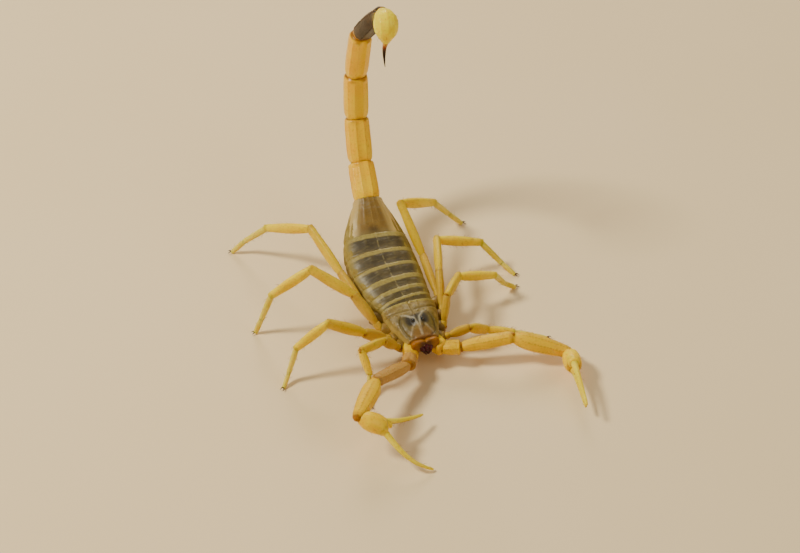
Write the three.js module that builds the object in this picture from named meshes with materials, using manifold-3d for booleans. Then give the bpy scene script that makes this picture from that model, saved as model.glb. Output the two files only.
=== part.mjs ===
// A yellow desert scorpion of the deathstalker kind, life size, standing with its tail raised.
// Millimetres, +Z up. The head looks along -Y and the animal's own left side is +X.
// The origin is on the floor, straight under the middle of the animal's outer box.
// It is first built round the middle of the carapace's hind edge, and moved at the end.

import * as THREE from 'three';
import { mergeVertices } from 'three/addons/utils/BufferGeometryUtils.js';
import Module from 'manifold-3d';

const wasm = await Module();
wasm.setup();
const { Manifold, Mesh: SolidMesh } = wasm;

const { degToRad, radToDeg, clamp, lerp } = THREE.MathUtils;

// ---- Driving dimensions ----

const GAP = 0.12; // the thin cut between neighbouring plates
const WELD = 1e-5; // points closer than this are one point
const SLIVER = 0.02; // facets thinner than this are merged into their neighbours
const SIDES = { left: 1, right: -1 };

const CARAPACE = {
  length: 7.9,
  halfWidth: [2.7, 3.35, 4.05, 4.55, 4.75], // front edge to hind edge
  dome: [1.6, 2.1, 2.3, 2.35, 2.3], // height above the side margin
  depth: [1.5, 2.15, 2.4, 2.45, 2.4], // depth of the underside below that margin
  hindHeight: 7.0, // top of the hind edge above the floor
  pitch: 3, // degrees that the back rises towards the tail
  square: 0.8, // 1 is a round section, and less is boxier
  overrun: 1.05, // share of the length that is shaped before the hind cut
};

// The mound is an ellipsoid sunk into the plate, and the eyes sit in it, by shares of its height.
const EYES = {
  radius: 0.42,
  spread: 0.72,
  fromFront: 3.25,
  mound: [1.15, 1.75, 0.75],
  sunk: 0.35,
  lift: 0.32,
};

// Each jaw is a block with two prongs, placed by shares of its reach.
const CHELICERA = {
  reach: 2.5,
  halfWidth: 1.05,
  halfHeight: 0.95,
  spread: 1.12,
  lift: 0.25,
  slope: 0.25, // it rises by this share of its reach
  block: { from: -0.12, to: 0.72, swell: [0.85, 1, 1, 0.95, 0.55], square: 0.85 },
  prong: {
    from: 0.6,
    to: 1.02,
    across: 0.42,
    hook: 0.35, // share of its distance across that it bends back by
    droop: 0.5,
    thick: [0.4, 0.25],
    deep: [0.42, 0.26],
  },
};

// The seven trunk rings: their length along the back, and how each one rises and swings.
const TRUNK = {
  lengths: [1.4, 2.0, 2.5, 3.0, 3.5, 3.8, 7.3],
  rise: [3, 4, 5, 7, 10, 14, 29],
  turn: [-7, -6, -4, -2, 2, 7, 9], // degrees that each one swings to the animal's left
  axisBelowBack: 2.5, // from the top of the carapace's hind edge down to the trunk's axis
  halfWidth: [4.75, 5.3, 5.75, 6.0, 5.95, 5.65, 4.95, 3.75, 2.45],
  top: [2.35, 2.65, 2.85, 2.9, 2.8, 2.6, 2.35, 2.15, 1.95],
  bottom: [2.3, 2.6, 2.85, 2.95, 2.85, 2.6, 2.3, 2.1, 1.9],
  square: 0.85,
  overrun: 0.12, // share of a ring's length that is shaped past each cut
  scallop: [0.965, 1.005], // each ring is a little slimmer in front than behind
};

const PECTEN = {
  length: 7.0,
  width: 0.85,
  midWidth: 0.9, // share of the width that is left half way along
  endWidth: 0.45, // and at the outer end
  tooth: 0.55,
  lastTooth: 0.75, // share of the length that the outermost tooth keeps
  teeth: 16,
  thickness: 0.5,
  sweep: 48,
  drop: 0.35,
  root: [0.75, 1.1], // beside the middle and before the second ring's joint
};

// The five tail rings. Lean is measured from upright, with backwards positive.
const TAIL = {
  lengths: [6.9, 7.9, 8.3, 9.6, 10.2],
  halfWidth: [2.25, 2.12, 2.06, 1.9, 1.62],
  depthRatio: 0.9,
  lean: [50, 27, 7, -10, -36],
  sideways: [4, 3, 2, 3, 10],
  turn: 2, // degrees that the tail's own plane swings to the animal's left
  keels: 10,
  keelHeight: 0.035,
  shares: [0.84, 0.99, 1, 0.97, 0.96, 0.86], // of the half width, from the near joint to the far one
  lastShares: [0.84, 0.99, 1, 0.97, 0.82, 0.74],
};

const TELSON = {
  chord: 5.1, // tail joint to the root of the sting
  lean: -128,
  sideways: -7,
  neckLean: -85,
  neckReach: 3.2,
  belly: 0.95, // how far the bulb swells towards its outer side
  halfWidth: [0.85, 1.5, 1.95, 2.0, 1.65, 0.62],
  halfDepth: [0.8, 1.35, 1.75, 1.8, 1.45, 0.58],
  stingReach: 4.15,
  stingLean: -163,
  stingRootLean: -200,
  stingRoot: 0.36,
  stingTip: 0.26,
};

// Half sizes of the arm pieces as [across, up and down], from the near joint to the far one.
const ARM = {
  root: { across: 2.7, alongFromFront: -1.1, belowTop: 3.15 },
  trochanter: { length: 3.0, across: [0.9, 1.2, 1.15], deep: [0.9, 1.15, 1.1] },
  femur: { length: 8.6, across: [0.8, 1.1, 1.1, 0.98], deep: [0.75, 1.0, 1.0, 0.9] },
  patella: { length: 9.8, across: [0.85, 1.45, 1.45, 1.25, 0.85], deep: [0.8, 1.2, 1.2, 1.1, 0.8] },
  hand: { length: 4.8, across: [0.75, 1.45, 1.6, 1.5], deep: [0.7, 1.35, 1.5, 1.3] },
  fixedFinger: { length: 8.9, root: 0.68, tip: 0.25 },
  movingFinger: { length: 9.9, root: 0.62, tip: 0.25 },
  hinge: 0.85, // from the hand's axis out to each finger's root
  overlap: 0.6, // how deep the fixed finger is rooted in the hand
  fingerTaper: 0.65, // below 1, so that a finger thins quickly at its root
};

// Turn is measured from straight out to the side, with backwards positive, and rise from level.
// Roll turns the plane that the pincer opens in. In it each finger swings off the hand's axis and bows.
const ARM_POSE = {
  left: {
    turn: { trochanter: -20, femur: -14, patella: -23, hand: -102 },
    rise: { trochanter: 3, femur: 9, patella: -17, hand: 15 },
    roll: 84,
    fixedFinger: { swing: -15.4, bow: 0.31 },
    movingFinger: { swing: -16.4, bow: 0.29 },
  },
  right: {
    turn: { trochanter: -63, femur: -31, patella: -53, hand: -163 },
    rise: { trochanter: 12, femur: 18, patella: 7, hand: -30 },
    roll: -7,
    fixedFinger: { swing: -31, bow: 0.43 },
    movingFinger: { swing: 23.9, bow: 1.54 },
  },
};

// Leg sizes by pair, front pair first. The hips are given beside, behind and below the front edge's top.
const LEG = {
  hip: [[3.95, 0.9, 2.9], [4.65, 3.2, 2.95], [5.4, 5.7, 2.85], [6.05, 8.8, 2.75]],
  lengths: [
    [4.3, 4.9, 4.7, 3.3, 2.4],
    [5.4, 6.9, 6.7, 4.6, 2.8],
    [7.4, 8.2, 8.2, 5.3, 3.1],
    [9.4, 9.8, 9.2, 6.3, 3.5],
  ],
  scale: [0.85, 0.97, 1, 1],
  femur: { thick: [0.5, 0.65, 0.68, 0.6], deep: [0.6, 0.98, 1.06, 0.9] },
  patella: { thick: [0.58, 0.72, 0.7, 0.6], deep: [0.75, 1.05, 1.0, 0.85] },
  // Ten stations: three steps each for the tibia, the basitarsus and the telotarsus.
  foot: {
    thick: [0.55, 0.64, 0.6, 0.5, 0.44, 0.43, 0.4, 0.38, 0.37, 0.32],
    deep: [0.75, 0.92, 0.86, 0.68, 0.56, 0.52, 0.46, 0.46, 0.44, 0.34],
  },
  sole: 0.13, // height of the last joint's end above the floor
  claw: { length: 1.0, root: 0.28, tip: 0.25, spread: 28, arch: 0.12 },
  behindKnee: -0.15, // share of the tibia that is shaped before the cut at the knee
};

// The hip plates run out to the legs from under the middle of the front body.
const HIP = {
  root: { across: 1.2, alongShare: 0.55, drop: 0.7, pull: 0.55 },
  across: [0.95, 0.9, 0.62],
  deep: [1.1, 1.0, 0.68],
};

// Turn of all five leg pieces and rise of the first four. The last one reaches down to the floor.
const LEG_POSE = {
  left: [
    { turn: [-8, 22, -12, -25, -30], rise: [16, -36, -14, -8] },
    { turn: [55, 53, -1, 31, 4], rise: [67, -13, -14, -54] },
    { turn: [75, 72, -3, -36, -52], rise: [34, -2, -18, -45] },
    { turn: [87, 99, 25, 28, -16], rise: [12, 37, -30, -52] },
  ],
  right: [
    { turn: [-14, -21, -131, -67, -80], rise: [47, 10, -72, -44] },
    { turn: [-2, 8, 3, -23, -46], rise: [34, 29, -37, -68] },
    { turn: [50, 40, 11, 12, -1], rise: [47, 24, -36, -70] },
    { turn: [76, 76, 48, 44, 20], rise: [19, 19, -21, -46] },
  ],
};

// ---- Finishes ----

const finish = (color, roughness) => new THREE.MeshStandardMaterial({ color, roughness, metalness: 0 });

const FINISH = {
  carapace: () => finish(0xa5915f, 0.5),
  coxa: () => finish(0xd6a95a, 0.45),
  eye: () => finish(0x0e0b0a, 0.12),
  jaw: () => finish(0xbe781e, 0.35),
  tergite: () => finish(0x82734f, 0.55),
  lastTergite: () => finish(0xaf8c50, 0.5),
  pecten: () => finish(0xe6cf8c, 0.5),
  tail: () => finish(0xebb43c, 0.35),
  darkTail: () => finish(0x5f463c, 0.4),
  bulb: () => finish(0xfadc64, 0.3),
  sting: () => finish(0x3a1d12, 0.25),
  arm: () => finish(0xebaa32, 0.35),
  hand: () => finish(0xfac832, 0.3),
  finger: () => finish(0xf0d750, 0.35),
  thigh: () => finish(0xd7a555, 0.4),
  foot: () => finish(0xe1be50, 0.4),
};

// ---- Directions ----

const UP = new THREE.Vector3(0, 0, 1);

/** A limb's direction: turn from straight out towards the back, and rise from level. */
function heading(side, turn, rise) {
  const [t, r] = [degToRad(turn), degToRad(rise)];
  return new THREE.Vector3(side * Math.cos(t) * Math.cos(r), Math.sin(t) * Math.cos(r), Math.sin(r));
}

/** A direction towards the tail, swung to the left by turn and up by rise. */
function rearward(turn, rise) {
  return heading(1, 90 - turn, rise);
}

/** A direction that leans back from upright, tilted to the left, in the tail's own plane. */
function leaning(lean, sideways) {
  const [back, tilt] = [degToRad(lean), degToRad(sideways)];
  const upright = new THREE.Vector3(
    Math.sin(tilt),
    Math.sin(back) * Math.cos(tilt),
    Math.cos(back) * Math.cos(tilt),
  );
  return upright.applyAxisAngle(UP, degToRad(-TAIL.turn));
}

/** The joints of a chain that starts at a point and takes one step for each direction. */
function joints(start, directions, lengths) {
  const points = [start];
  directions.forEach((direction, i) => {
    points.push(points[i].clone().addScaledVector(direction, lengths[i]));
  });
  return points;
}

/** A smooth run through evenly spaced values, read from 0 to 1. */
function through(values) {
  const curve = new THREE.SplineCurve(values.map((value, i) => new THREE.Vector2(i, value)));
  return (t) => curve.getPoint(clamp(t, 0, 1)).y;
}

// ---- Solids ----

/** A place and an attitude: Y runs along the piece, Z towards its back and X across it. */
function placeOf(from, to, back) {
  const along = to.clone().sub(from).normalize();
  const across = along.clone().cross(back).normalize();
  const upward = across.clone().cross(along);
  return new THREE.Matrix4().makeBasis(across, along, upward).setPosition(from);
}

function solidOf(geometry) {
  geometry.deleteAttribute('normal');
  geometry.deleteAttribute('uv');
  const welded = mergeVertices(geometry, WELD);
  return new Manifold(new SolidMesh({
    numProp: 3,
    vertProperties: welded.getAttribute('position').array,
    triVerts: Uint32Array.from(welded.index.array),
  }));
}

/** A closed shell round a line: `line(t)` is its middle and `size(t)` its half widths there. */
function shell({ around, rows, line, size, acrossAt, keels = 0, keelHeight = 0, square = 1 }) {
  const geometry = new THREE.CylinderGeometry(1, 1, 1, around, rows);
  const position = geometry.getAttribute('position');
  const point = new THREE.Vector3();
  const STEP = 0.01;
  for (let i = 0; i < position.count; i += 1) {
    const [x, z] = [position.getX(i), position.getZ(i)];
    const t = position.getY(i) + 0.5;
    const rim = Math.hypot(x, z);
    const angle = Math.atan2(z, x);
    const tangent = line(t + STEP).sub(line(t - STEP)).normalize();
    const across = acrossAt ? acrossAt(t) : tangent.clone().cross(UP).normalize();
    const upward = across.clone().cross(tangent).normalize();
    const [halfWidth, top, bottom] = size(t);
    const ridge = rim * (1 + keelHeight * Math.cos(keels * (angle - Math.PI / 2)));
    const soften = (value) => Math.sign(value) * Math.abs(value) ** square;
    const sine = soften(Math.sin(angle));
    point.copy(line(t));
    point.addScaledVector(across, halfWidth * ridge * soften(Math.cos(angle)));
    point.addScaledVector(upward, (sine > 0 ? top : bottom) * ridge * sine);
    position.setXYZ(i, point.x, point.y, point.z);
  }
  return solidOf(geometry);
}

/** A straight shell along +Y that reaches a little past both its joints, for the cuts there. */
function link({ length, across, deep, past = 0.15, around = 8, rows = 4, ...shape }) {
  const [wide, high] = [through(across), through(deep)];
  const along = (t) => lerp(-past, 1 + past, t);
  return shell({
    around,
    rows,
    line: (t) => new THREE.Vector3(0, along(t) * length, 0),
    size: (t) => [wide(along(t)), high(along(t)), high(along(t))],
    ...shape,
  });
}

/** Keeps what lies on one side of a plane that is given in the model's own frame. */
function keepBeyond(solid, place, point, normal) {
  const inverse = place.clone().invert();
  const localNormal = normal.clone().transformDirection(inverse);
  const offset = localNormal.dot(point.clone().applyMatrix4(inverse)) + GAP / 2;
  return solid.trimByPlane(localNormal.toArray(), offset);
}

/** The plane that halves the bend between two pieces that meet. */
function mitre(before, after) {
  return before.clone().add(after).normalize();
}

/** Cuts a piece at its two joints, half a gap short of each halving plane. */
function fit(solid, place, from, to, normalFrom, normalTo) {
  let cut = solid;
  if (normalFrom) {
    cut = keepBeyond(cut, place, from, normalFrom);
  }
  if (normalTo) {
    cut = keepBeyond(cut, place, to, normalTo.clone().negate());
  }
  return cut;
}

/** A solid from a piece's own frame, moved to where the model has it. */
function placed(solid, place) {
  return solid.transform(place.elements);
}

// ---- The scene graph ----

const scorpion = new THREE.Group();
scorpion.name = 'scorpion';

function add(name, solid, material, place = new THREE.Matrix4(), stands = false) {
  const merged = solid.simplify(SLIVER);
  const { vertProperties, triVerts } = (stands ? merged.trimByPlane([0, 0, 1], 0) : merged).getMesh();
  const geometry = new THREE.BufferGeometry();
  geometry.setAttribute('position', new THREE.BufferAttribute(vertProperties, 3));
  geometry.setIndex(new THREE.BufferAttribute(triVerts, 1));
  geometry.computeVertexNormals();
  const mesh = new THREE.Mesh(geometry, material);
  mesh.name = name;
  place.decompose(mesh.position, mesh.quaternion, mesh.scale);
  scorpion.add(mesh);
}

// ---- Where the body is ----

const hindEdge = new THREE.Vector3(0, 0, CARAPACE.hindHeight);
const forward = rearward(0, -CARAPACE.pitch).negate().setZ(-Math.sin(degToRad(CARAPACE.pitch)));
const frontEdge = hindEdge.clone().addScaledVector(forward, CARAPACE.length);
const backUp = new THREE.Vector3(1, 0, 0).cross(forward.clone().negate());

/** A point beside, behind and below the middle of the carapace's front edge. */
function inCarapace(across, behind, below) {
  return frontEdge.clone()
    .addScaledVector(new THREE.Vector3(1, 0, 0), across)
    .addScaledVector(forward, -behind)
    .addScaledVector(backUp, -below);
}

const trunkDirections = TRUNK.rise.map((rise, i) => rearward(TRUNK.turn[i], rise));
const trunkStart = hindEdge.clone().setZ(CARAPACE.hindHeight - TRUNK.axisBelowBack);
const trunkJoints = joints(trunkStart, trunkDirections, TRUNK.lengths);
const neckSeam = mitre(forward.clone().negate(), trunkDirections[0]);

const tailDirections = TAIL.lean.map((lean, i) => leaning(lean, TAIL.sideways[i]));
const tailJoints = joints(trunkJoints.at(-1), tailDirections, TAIL.lengths);

/** The side of a tail piece that faces upwards when the tail lies flat. */
function backOfTail(lean) {
  return leaning(lean - 90, 0);
}

// ---- Carapace, underside, eyes and jaws ----

const SIDE_MARGIN = CARAPACE.dome.at(-1); // below the top, where the back plate meets the hips
const sideMargin = inCarapace(0, 0, SIDE_MARGIN);

/** Builds the back plate and the eyes, and returns the rest of the front body for the underside. */
function buildProsoma() {
  const [wide, dome, depth] = [CARAPACE.halfWidth, CARAPACE.dome, CARAPACE.depth].map(through);
  const place = placeOf(sideMargin, inCarapace(0, CARAPACE.length, SIDE_MARGIN), backUp);
  const past = CARAPACE.overrun;
  const uncut = shell({
    around: 20,
    rows: 6,
    line: (t) => new THREE.Vector3(0, t * past * CARAPACE.length, 0),
    size: (t) => [wide(t * past), dome(t * past), depth(t * past)],
    square: CARAPACE.square,
  });
  const whole = keepBeyond(uncut, place, hindEdge, neckSeam.clone().negate());
  const [moundX, moundY, moundZ] = EYES.mound;
  const eyeHeight = dome(EYES.fromFront / CARAPACE.length);
  const mound = solidOf(new THREE.SphereGeometry(1, 12, 6))
    .scale([moundX, moundY, moundZ])
    .translate([0, EYES.fromFront, eyeHeight - moundZ * EYES.sunk]);
  let plate = whole.trimByPlane([0, 0, 1], GAP / 2).add(mound);
  Object.entries(SIDES).forEach(([side, sign]) => {
    const middle = [sign * EYES.spread, EYES.fromFront, eyeHeight + moundZ * EYES.lift];
    const ball = solidOf(new THREE.SphereGeometry(EYES.radius, 10, 6)).translate(middle);
    const socket = solidOf(new THREE.SphereGeometry(EYES.radius + GAP, 10, 6)).translate(middle);
    plate = plate.subtract(socket);
    add(`eye_${side}`, ball, FINISH.eye(), place);
  });
  add('carapace', plate, FINISH.carapace(), place);
  return placed(whole, place);
}

function buildChelicerae() {
  const { reach, halfWidth, halfHeight, spread, lift, slope, block, prong } = CHELICERA;
  Object.entries(SIDES).forEach(([side, sign]) => {
    const from = inCarapace(sign * spread, 0, SIDE_MARGIN - lift);
    const to = inCarapace(sign * spread, -reach, SIDE_MARGIN - lift + reach * slope);
    const place = placeOf(from, to, UP);
    const swell = through(block.swell);
    const body = shell({
      around: 10,
      rows: 4,
      line: (t) => new THREE.Vector3(0, lerp(block.from, block.to, t) * reach, 0),
      size: (t) => [halfWidth, halfHeight, halfHeight].map((half) => half * swell(t)),
      square: block.square,
    });
    const prongAt = (across) => shell({
      around: 6,
      rows: 3,
      line: (t) => new THREE.Vector3(
        across * (1 - prong.hook * t * t),
        lerp(prong.from, prong.to, t) * reach,
        -prong.droop * t * t,
      ),
      size: (t) => [prong.thick, prong.deep, prong.deep].map(([near, far]) => lerp(near, far, t)),
    });
    const jaw = body.add(prongAt(prong.across)).add(prongAt(-prong.across));
    const cut = keepBeyond(jaw, place, inCarapace(0, -GAP / 2, 0), forward);
    add(`chelicera_${side}`, cut, FINISH.jaw(), place);
  });
}

// ---- Trunk and combs ----

/** Builds the seven rings. The first two are notched round the hind pair of hip plates. */
function buildTrunk(hipNotches) {
  const total = TRUNK.lengths.reduce((sum, length) => sum + length, 0);
  const [wide, top, bottom] = [TRUNK.halfWidth, TRUNK.top, TRUNK.bottom].map(through);
  const lastIndex = TRUNK.lengths.length - 1;
  const past = TRUNK.overrun;
  let start = 0;
  TRUNK.lengths.forEach((length, i) => {
    const before = start;
    start += length;
    const place = placeOf(trunkJoints[i], trunkJoints[i + 1], UP);
    const along = (t) => lerp(-past, 1 + past, t) * length;
    const scallop = (t) => lerp(...TRUNK.scallop, t);
    const ring = shell({
      around: 18,
      rows: i === lastIndex ? 5 : 2,
      line: (t) => new THREE.Vector3(0, along(t), 0),
      size: (t) => [wide, top, bottom].map((part) => part((before + along(t)) / total) * scallop(t)),
      square: TRUNK.square,
    });
    const next = i === lastIndex ? tailDirections[0] : trunkDirections[i + 1];
    const cut = fit(
      ring,
      place,
      i ? trunkJoints[i] : hindEdge,
      trunkJoints[i + 1],
      i ? mitre(trunkDirections[i - 1], trunkDirections[i]) : neckSeam,
      mitre(trunkDirections[i], next),
    );
    const toLocal = place.clone().invert();
    const notches = i < 2 ? hipNotches : [];
    const notched = notches.reduce((sum, notch) => sum.subtract(placed(notch, toLocal)), cut);
    const material = i === lastIndex ? FINISH.lastTergite() : FINISH.tergite();
    add(`mesosoma_${i + 1}`, notched, material, place);
  });
}

/** A comb: a thin blade with a row of teeth along its hind side, lying under the belly. */
function combShape() {
  const { length, width, midWidth, endWidth, tooth, lastTooth, teeth } = PECTEN;
  const shape = new THREE.Shape();
  const pitch = length / teeth;
  shape.moveTo(0, 0);
  for (let i = 0; i < teeth; i += 1) {
    shape.lineTo((i + 0.5) * pitch, tooth * lerp(1, lastTooth, i / teeth));
    shape.lineTo((i + 1) * pitch, 0);
  }
  shape.lineTo(length, -width * endWidth);
  shape.lineTo(length / 2, -width * midWidth);
  shape.lineTo(0, -width);
  return shape;
}

function buildPectines() {
  const { sweep, thickness, drop, root: [beside, before] } = PECTEN;
  const extrusion = { depth: thickness, bevelEnabled: false };
  const blade = solidOf(new THREE.ExtrudeGeometry(combShape(), extrusion));
  const belowAxis = TRUNK.bottom[1] + drop + thickness;
  Object.entries(SIDES).forEach(([side, sign]) => {
    const root = trunkJoints[1].clone().setZ(trunkJoints[1].z - belowAxis);
    const solid = sign > 0 ? blade : blade.mirror([1, 0, 0]);
    const place = new THREE.Matrix4()
      .makeRotationZ(sign * degToRad(sweep))
      .setPosition(root.x + sign * beside, root.y - before, root.z);
    add(`pecten_${side}`, solid, FINISH.pecten(), place);
  });
}

// ---- Tail ----

function buildTail() {
  const lastTrunk = trunkDirections.at(-1);
  TAIL.lengths.forEach((length, i) => {
    const place = placeOf(tailJoints[i], tailJoints[i + 1], backOfTail(TAIL.lean[i]));
    const width = TAIL.halfWidth[i];
    const shares = i === TAIL.lengths.length - 1 ? TAIL.lastShares : TAIL.shares;
    const across = shares.map((share) => share * width);
    const ring = link({
      length,
      across,
      deep: across.map((value) => value * TAIL.depthRatio),
      past: 0.1,
      around: 20,
      rows: 3,
      keels: TAIL.keels,
      keelHeight: TAIL.keelHeight,
    });
    const previous = i ? tailDirections[i - 1] : lastTrunk;
    const next = tailDirections[i + 1] ?? leaning(TELSON.neckLean, TELSON.sideways);
    const cut = fit(
      ring,
      place,
      tailJoints[i],
      tailJoints[i + 1],
      mitre(previous, tailDirections[i]),
      mitre(tailDirections[i], next),
    );
    const material = i === TAIL.lengths.length - 1 ? FINISH.darkTail() : FINISH.tail();
    add(`metasoma_${i + 1}`, cut, material, place);
  });
}

function buildTelson() {
  const root = tailJoints.at(-1);
  const inward = backOfTail(TELSON.lean);
  const neck = leaning(TELSON.neckLean, TELSON.sideways);
  const stingRoot = root.clone().addScaledVector(leaning(TELSON.lean, TELSON.sideways), TELSON.chord);
  const place = placeOf(root, stingRoot, inward);
  const toLocal = place.clone().invert();
  const local = (point) => point.clone().applyMatrix4(toLocal);
  const bend = new THREE.QuadraticBezierCurve3(
    local(root),
    local(root.clone().addScaledVector(neck, TELSON.neckReach)),
    local(stingRoot),
  );
  const [wide, deep] = [TELSON.halfWidth, TELSON.halfDepth].map(through);
  const bulb = shell({
    around: 14,
    rows: 7,
    line: (t) => {
      const outward = TELSON.belly * Math.sin(Math.PI * clamp(t, 0, 1));
      return bend.getPoint(t).add(new THREE.Vector3(0, 0, -outward));
    },
    size: (t) => [wide(t), deep(t), deep(t)],
  });
  const sting = leaning(TELSON.stingLean, TELSON.sideways);
  const tip = stingRoot.clone().addScaledVector(sting, TELSON.stingReach);
  const rootHeading = leaning(TELSON.stingRootLean, TELSON.sideways);
  const seam = bend.getTangent(1).transformDirection(place);
  const thorn = new THREE.QuadraticBezierCurve3(
    local(stingRoot.clone().addScaledVector(seam, GAP / 2)),
    local(stingRoot.clone().addScaledVector(rootHeading, TELSON.stingReach * 0.5)),
    local(tip),
  );
  const spine = shell({
    around: 8,
    rows: 6,
    line: (t) => thorn.getPoint(t),
    size: (t) => Array(3).fill(lerp(TELSON.stingRoot, TELSON.stingTip, t)),
  });
  const cutBulb = fit(bulb, place, root, stingRoot, mitre(tailDirections.at(-1), neck), seam);
  add('telson_bulb', cutBulb, FINISH.bulb(), place);
  add('telson_sting', keepBeyond(spine, place, stingRoot, seam), FINISH.sting(), place);
}

// ---- Arms ----

/** A finger in the hand's own frame: it swings off the axis, bows outwards and has a blunt tip. */
function fingerOf(start, { swing, bow }, { length, root, tip }, extra = 0) {
  const angle = degToRad(swing);
  const line = (t) => new THREE.Vector3(
    start.x + Math.sin(angle) * t * length + bow * Math.sin(Math.PI * clamp(t, 0, 1)),
    start.y + Math.cos(angle) * t * length,
    start.z,
  );
  const size = (t) => {
    const half = lerp(root, tip, clamp(t, 0, 1) ** ARM.fingerTaper) + extra;
    return [half * 0.9, half, half];
  };
  return shell({ around: 8, rows: 5, line, size });
}

/** Builds one arm and returns the hollow that its root needs in the underside. */
function buildArm(side) {
  const sign = SIDES[side];
  const pose = ARM_POSE[side];
  const names = ['trochanter', 'femur', 'patella', 'hand'];
  const directions = names.map((name) => heading(sign, pose.turn[name], pose.rise[name]));
  const lengths = names.map((name) => ARM[name].length);
  const start = inCarapace(sign * ARM.root.across, ARM.root.alongFromFront, ARM.root.belowTop);
  const points = joints(start, directions, lengths);
  const pieceOf = (name, extra = 0) => link({
    length: ARM[name].length,
    across: ARM[name].across.map((value) => value + extra),
    deep: ARM[name].deep.map((value) => value + extra),
    around: 12,
    square: 0.85,
  });
  names.slice(0, 3).forEach((name, i) => {
    const place = placeOf(points[i], points[i + 1], UP);
    const normalFrom = i ? mitre(directions[i - 1], directions[i]) : directions[0];
    const normalTo = mitre(directions[i], directions[i + 1]);
    const cut = fit(pieceOf(name), place, points[i], points[i + 1], normalFrom, normalTo);
    add(`pedipalp_${side}_${name}`, cut, FINISH.arm(), place);
  });

  const [, , , wrist, knuckle] = points;
  const place = placeOf(wrist, knuckle, UP)
    .multiply(new THREE.Matrix4().makeRotationY(degToRad(-pose.roll)));
  const palm = link({ ...ARM.hand, past: 0.1, around: 12, rows: 4, square: 0.9 });
  const fixedRoot = new THREE.Vector3(-ARM.hinge, ARM.hand.length - ARM.overlap, 0);
  const movingRoot = new THREE.Vector3(ARM.hinge, ARM.hand.length, 0);
  const hand = fit(palm, place, wrist, knuckle, mitre(directions[2], directions[3]), null)
    .add(fingerOf(fixedRoot, pose.fixedFinger, ARM.fixedFinger))
    .subtract(fingerOf(movingRoot, pose.movingFinger, ARM.movingFinger, GAP));
  add(`pedipalp_${side}_hand`, hand, FINISH.hand(), place);
  add(
    `pedipalp_${side}_finger`,
    fingerOf(movingRoot, pose.movingFinger, ARM.movingFinger),
    FINISH.finger(),
    place,
  );
  return placed(pieceOf('trochanter', GAP), placeOf(points[0], points[1], UP));
}

// ---- Legs ----

/** Directions of a leg's five pieces, the last one dropped so that its end is just above the floor. */
function legChain(side, pair) {
  const sign = SIDES[side];
  const { turn, rise } = LEG_POSE[side][pair];
  const lengths = LEG.lengths[pair];
  const [across, behind, below] = LEG.hip[pair];
  const hip = inCarapace(sign * across, behind, below);
  const directions = rise.map((angle, i) => heading(sign, turn[i], angle));
  const ankle = joints(hip, directions, lengths).at(-1);
  const drop = radToDeg(Math.asin(clamp((LEG.sole - ankle.z) / lengths[4], -1, 1)));
  directions.push(heading(sign, turn[4], drop));
  return { directions, lengths, points: joints(hip, directions, lengths) };
}

/** The tibia and both tarsi as one bent shell that runs from the knee to the sole. */
function footShell(side, turns, points, scale) {
  const [knee, ankle] = points;
  const start = knee.clone().lerp(ankle, LEG.behindKnee);
  const stops = [start, ...points.slice(1)];
  const pieces = stops.length - 1;
  const [thick, deep] = [LEG.foot.thick, LEG.foot.deep].map(through);
  const [tibia, basitarsus, telotarsus] = turns;
  const turnAt = through([tibia, (tibia + basitarsus) / 2, (basitarsus + telotarsus) / 2, telotarsus]);
  return shell({
    around: 6,
    rows: LEG.foot.thick.length - 1,
    line: (t) => {
      const i = clamp(Math.floor(t * pieces), 0, pieces - 1);
      return stops[i].clone().lerp(stops[i + 1], t * pieces - i);
    },
    size: (t) => [thick(t) * scale, deep(t) * scale, deep(t) * scale],
    acrossAt: (t) => heading(side, turnAt(t) - side * 90, 0),
  });
}

/** The two claws at a leg's end, each a short blunt hook. */
function clawsAt(tip, direction) {
  const flat = direction.clone().setZ(0).normalize();
  const { length, root, tip: point, spread, arch } = LEG.claw;
  return [spread, -spread].map((angle) => {
    const way = flat.clone().applyAxisAngle(UP, degToRad(angle));
    const lift = (t) => new THREE.Vector3(0, 0, arch * Math.sin(Math.PI * t));
    return shell({
      around: 5,
      rows: 2,
      line: (t) => tip.clone().addScaledVector(way, t * length).add(lift(t)),
      size: (t) => Array(3).fill(lerp(root, point, t)),
    });
  });
}

/** Builds one leg and returns what its hip plate needs. */
function buildLeg(side, pair) {
  const { directions, lengths, points } = legChain(side, pair);
  const scale = LEG.scale[pair];
  const name = `leg_${side}_${pair + 1}`;
  const normals = directions.map((way, i) => (i ? mitre(directions[i - 1], way) : way));

  ['femur', 'patella'].forEach((piece, i) => {
    const place = placeOf(points[i], points[i + 1], UP);
    const { thick, deep } = LEG[piece];
    const solid = link({
      length: lengths[i],
      across: thick.map((value) => value * scale),
      deep: deep.map((value) => value * scale),
      rows: 3,
    });
    const cut = fit(solid, place, points[i], points[i + 1], normals[i], normals[i + 1]);
    add(`${name}_${piece}`, cut, FINISH.thigh(), place);
  });

  const { turn } = LEG_POSE[side][pair];
  const sole = points[5];
  const shin = keepBeyond(
    footShell(SIDES[side], turn.slice(2), points.slice(2), scale),
    new THREE.Matrix4(),
    points[2],
    normals[2],
  );
  const foot = clawsAt(sole, directions[4]).reduce((sum, claw) => sum.add(claw), shin);
  const place = new THREE.Matrix4().setPosition(sole.x, sole.y, 0);
  add(`${name}_foot`, placed(foot, place.clone().invert()), FINISH.foot(), place, true);
  return { hip: points[0], hipWay: directions[0], scale, pair };
}

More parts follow.
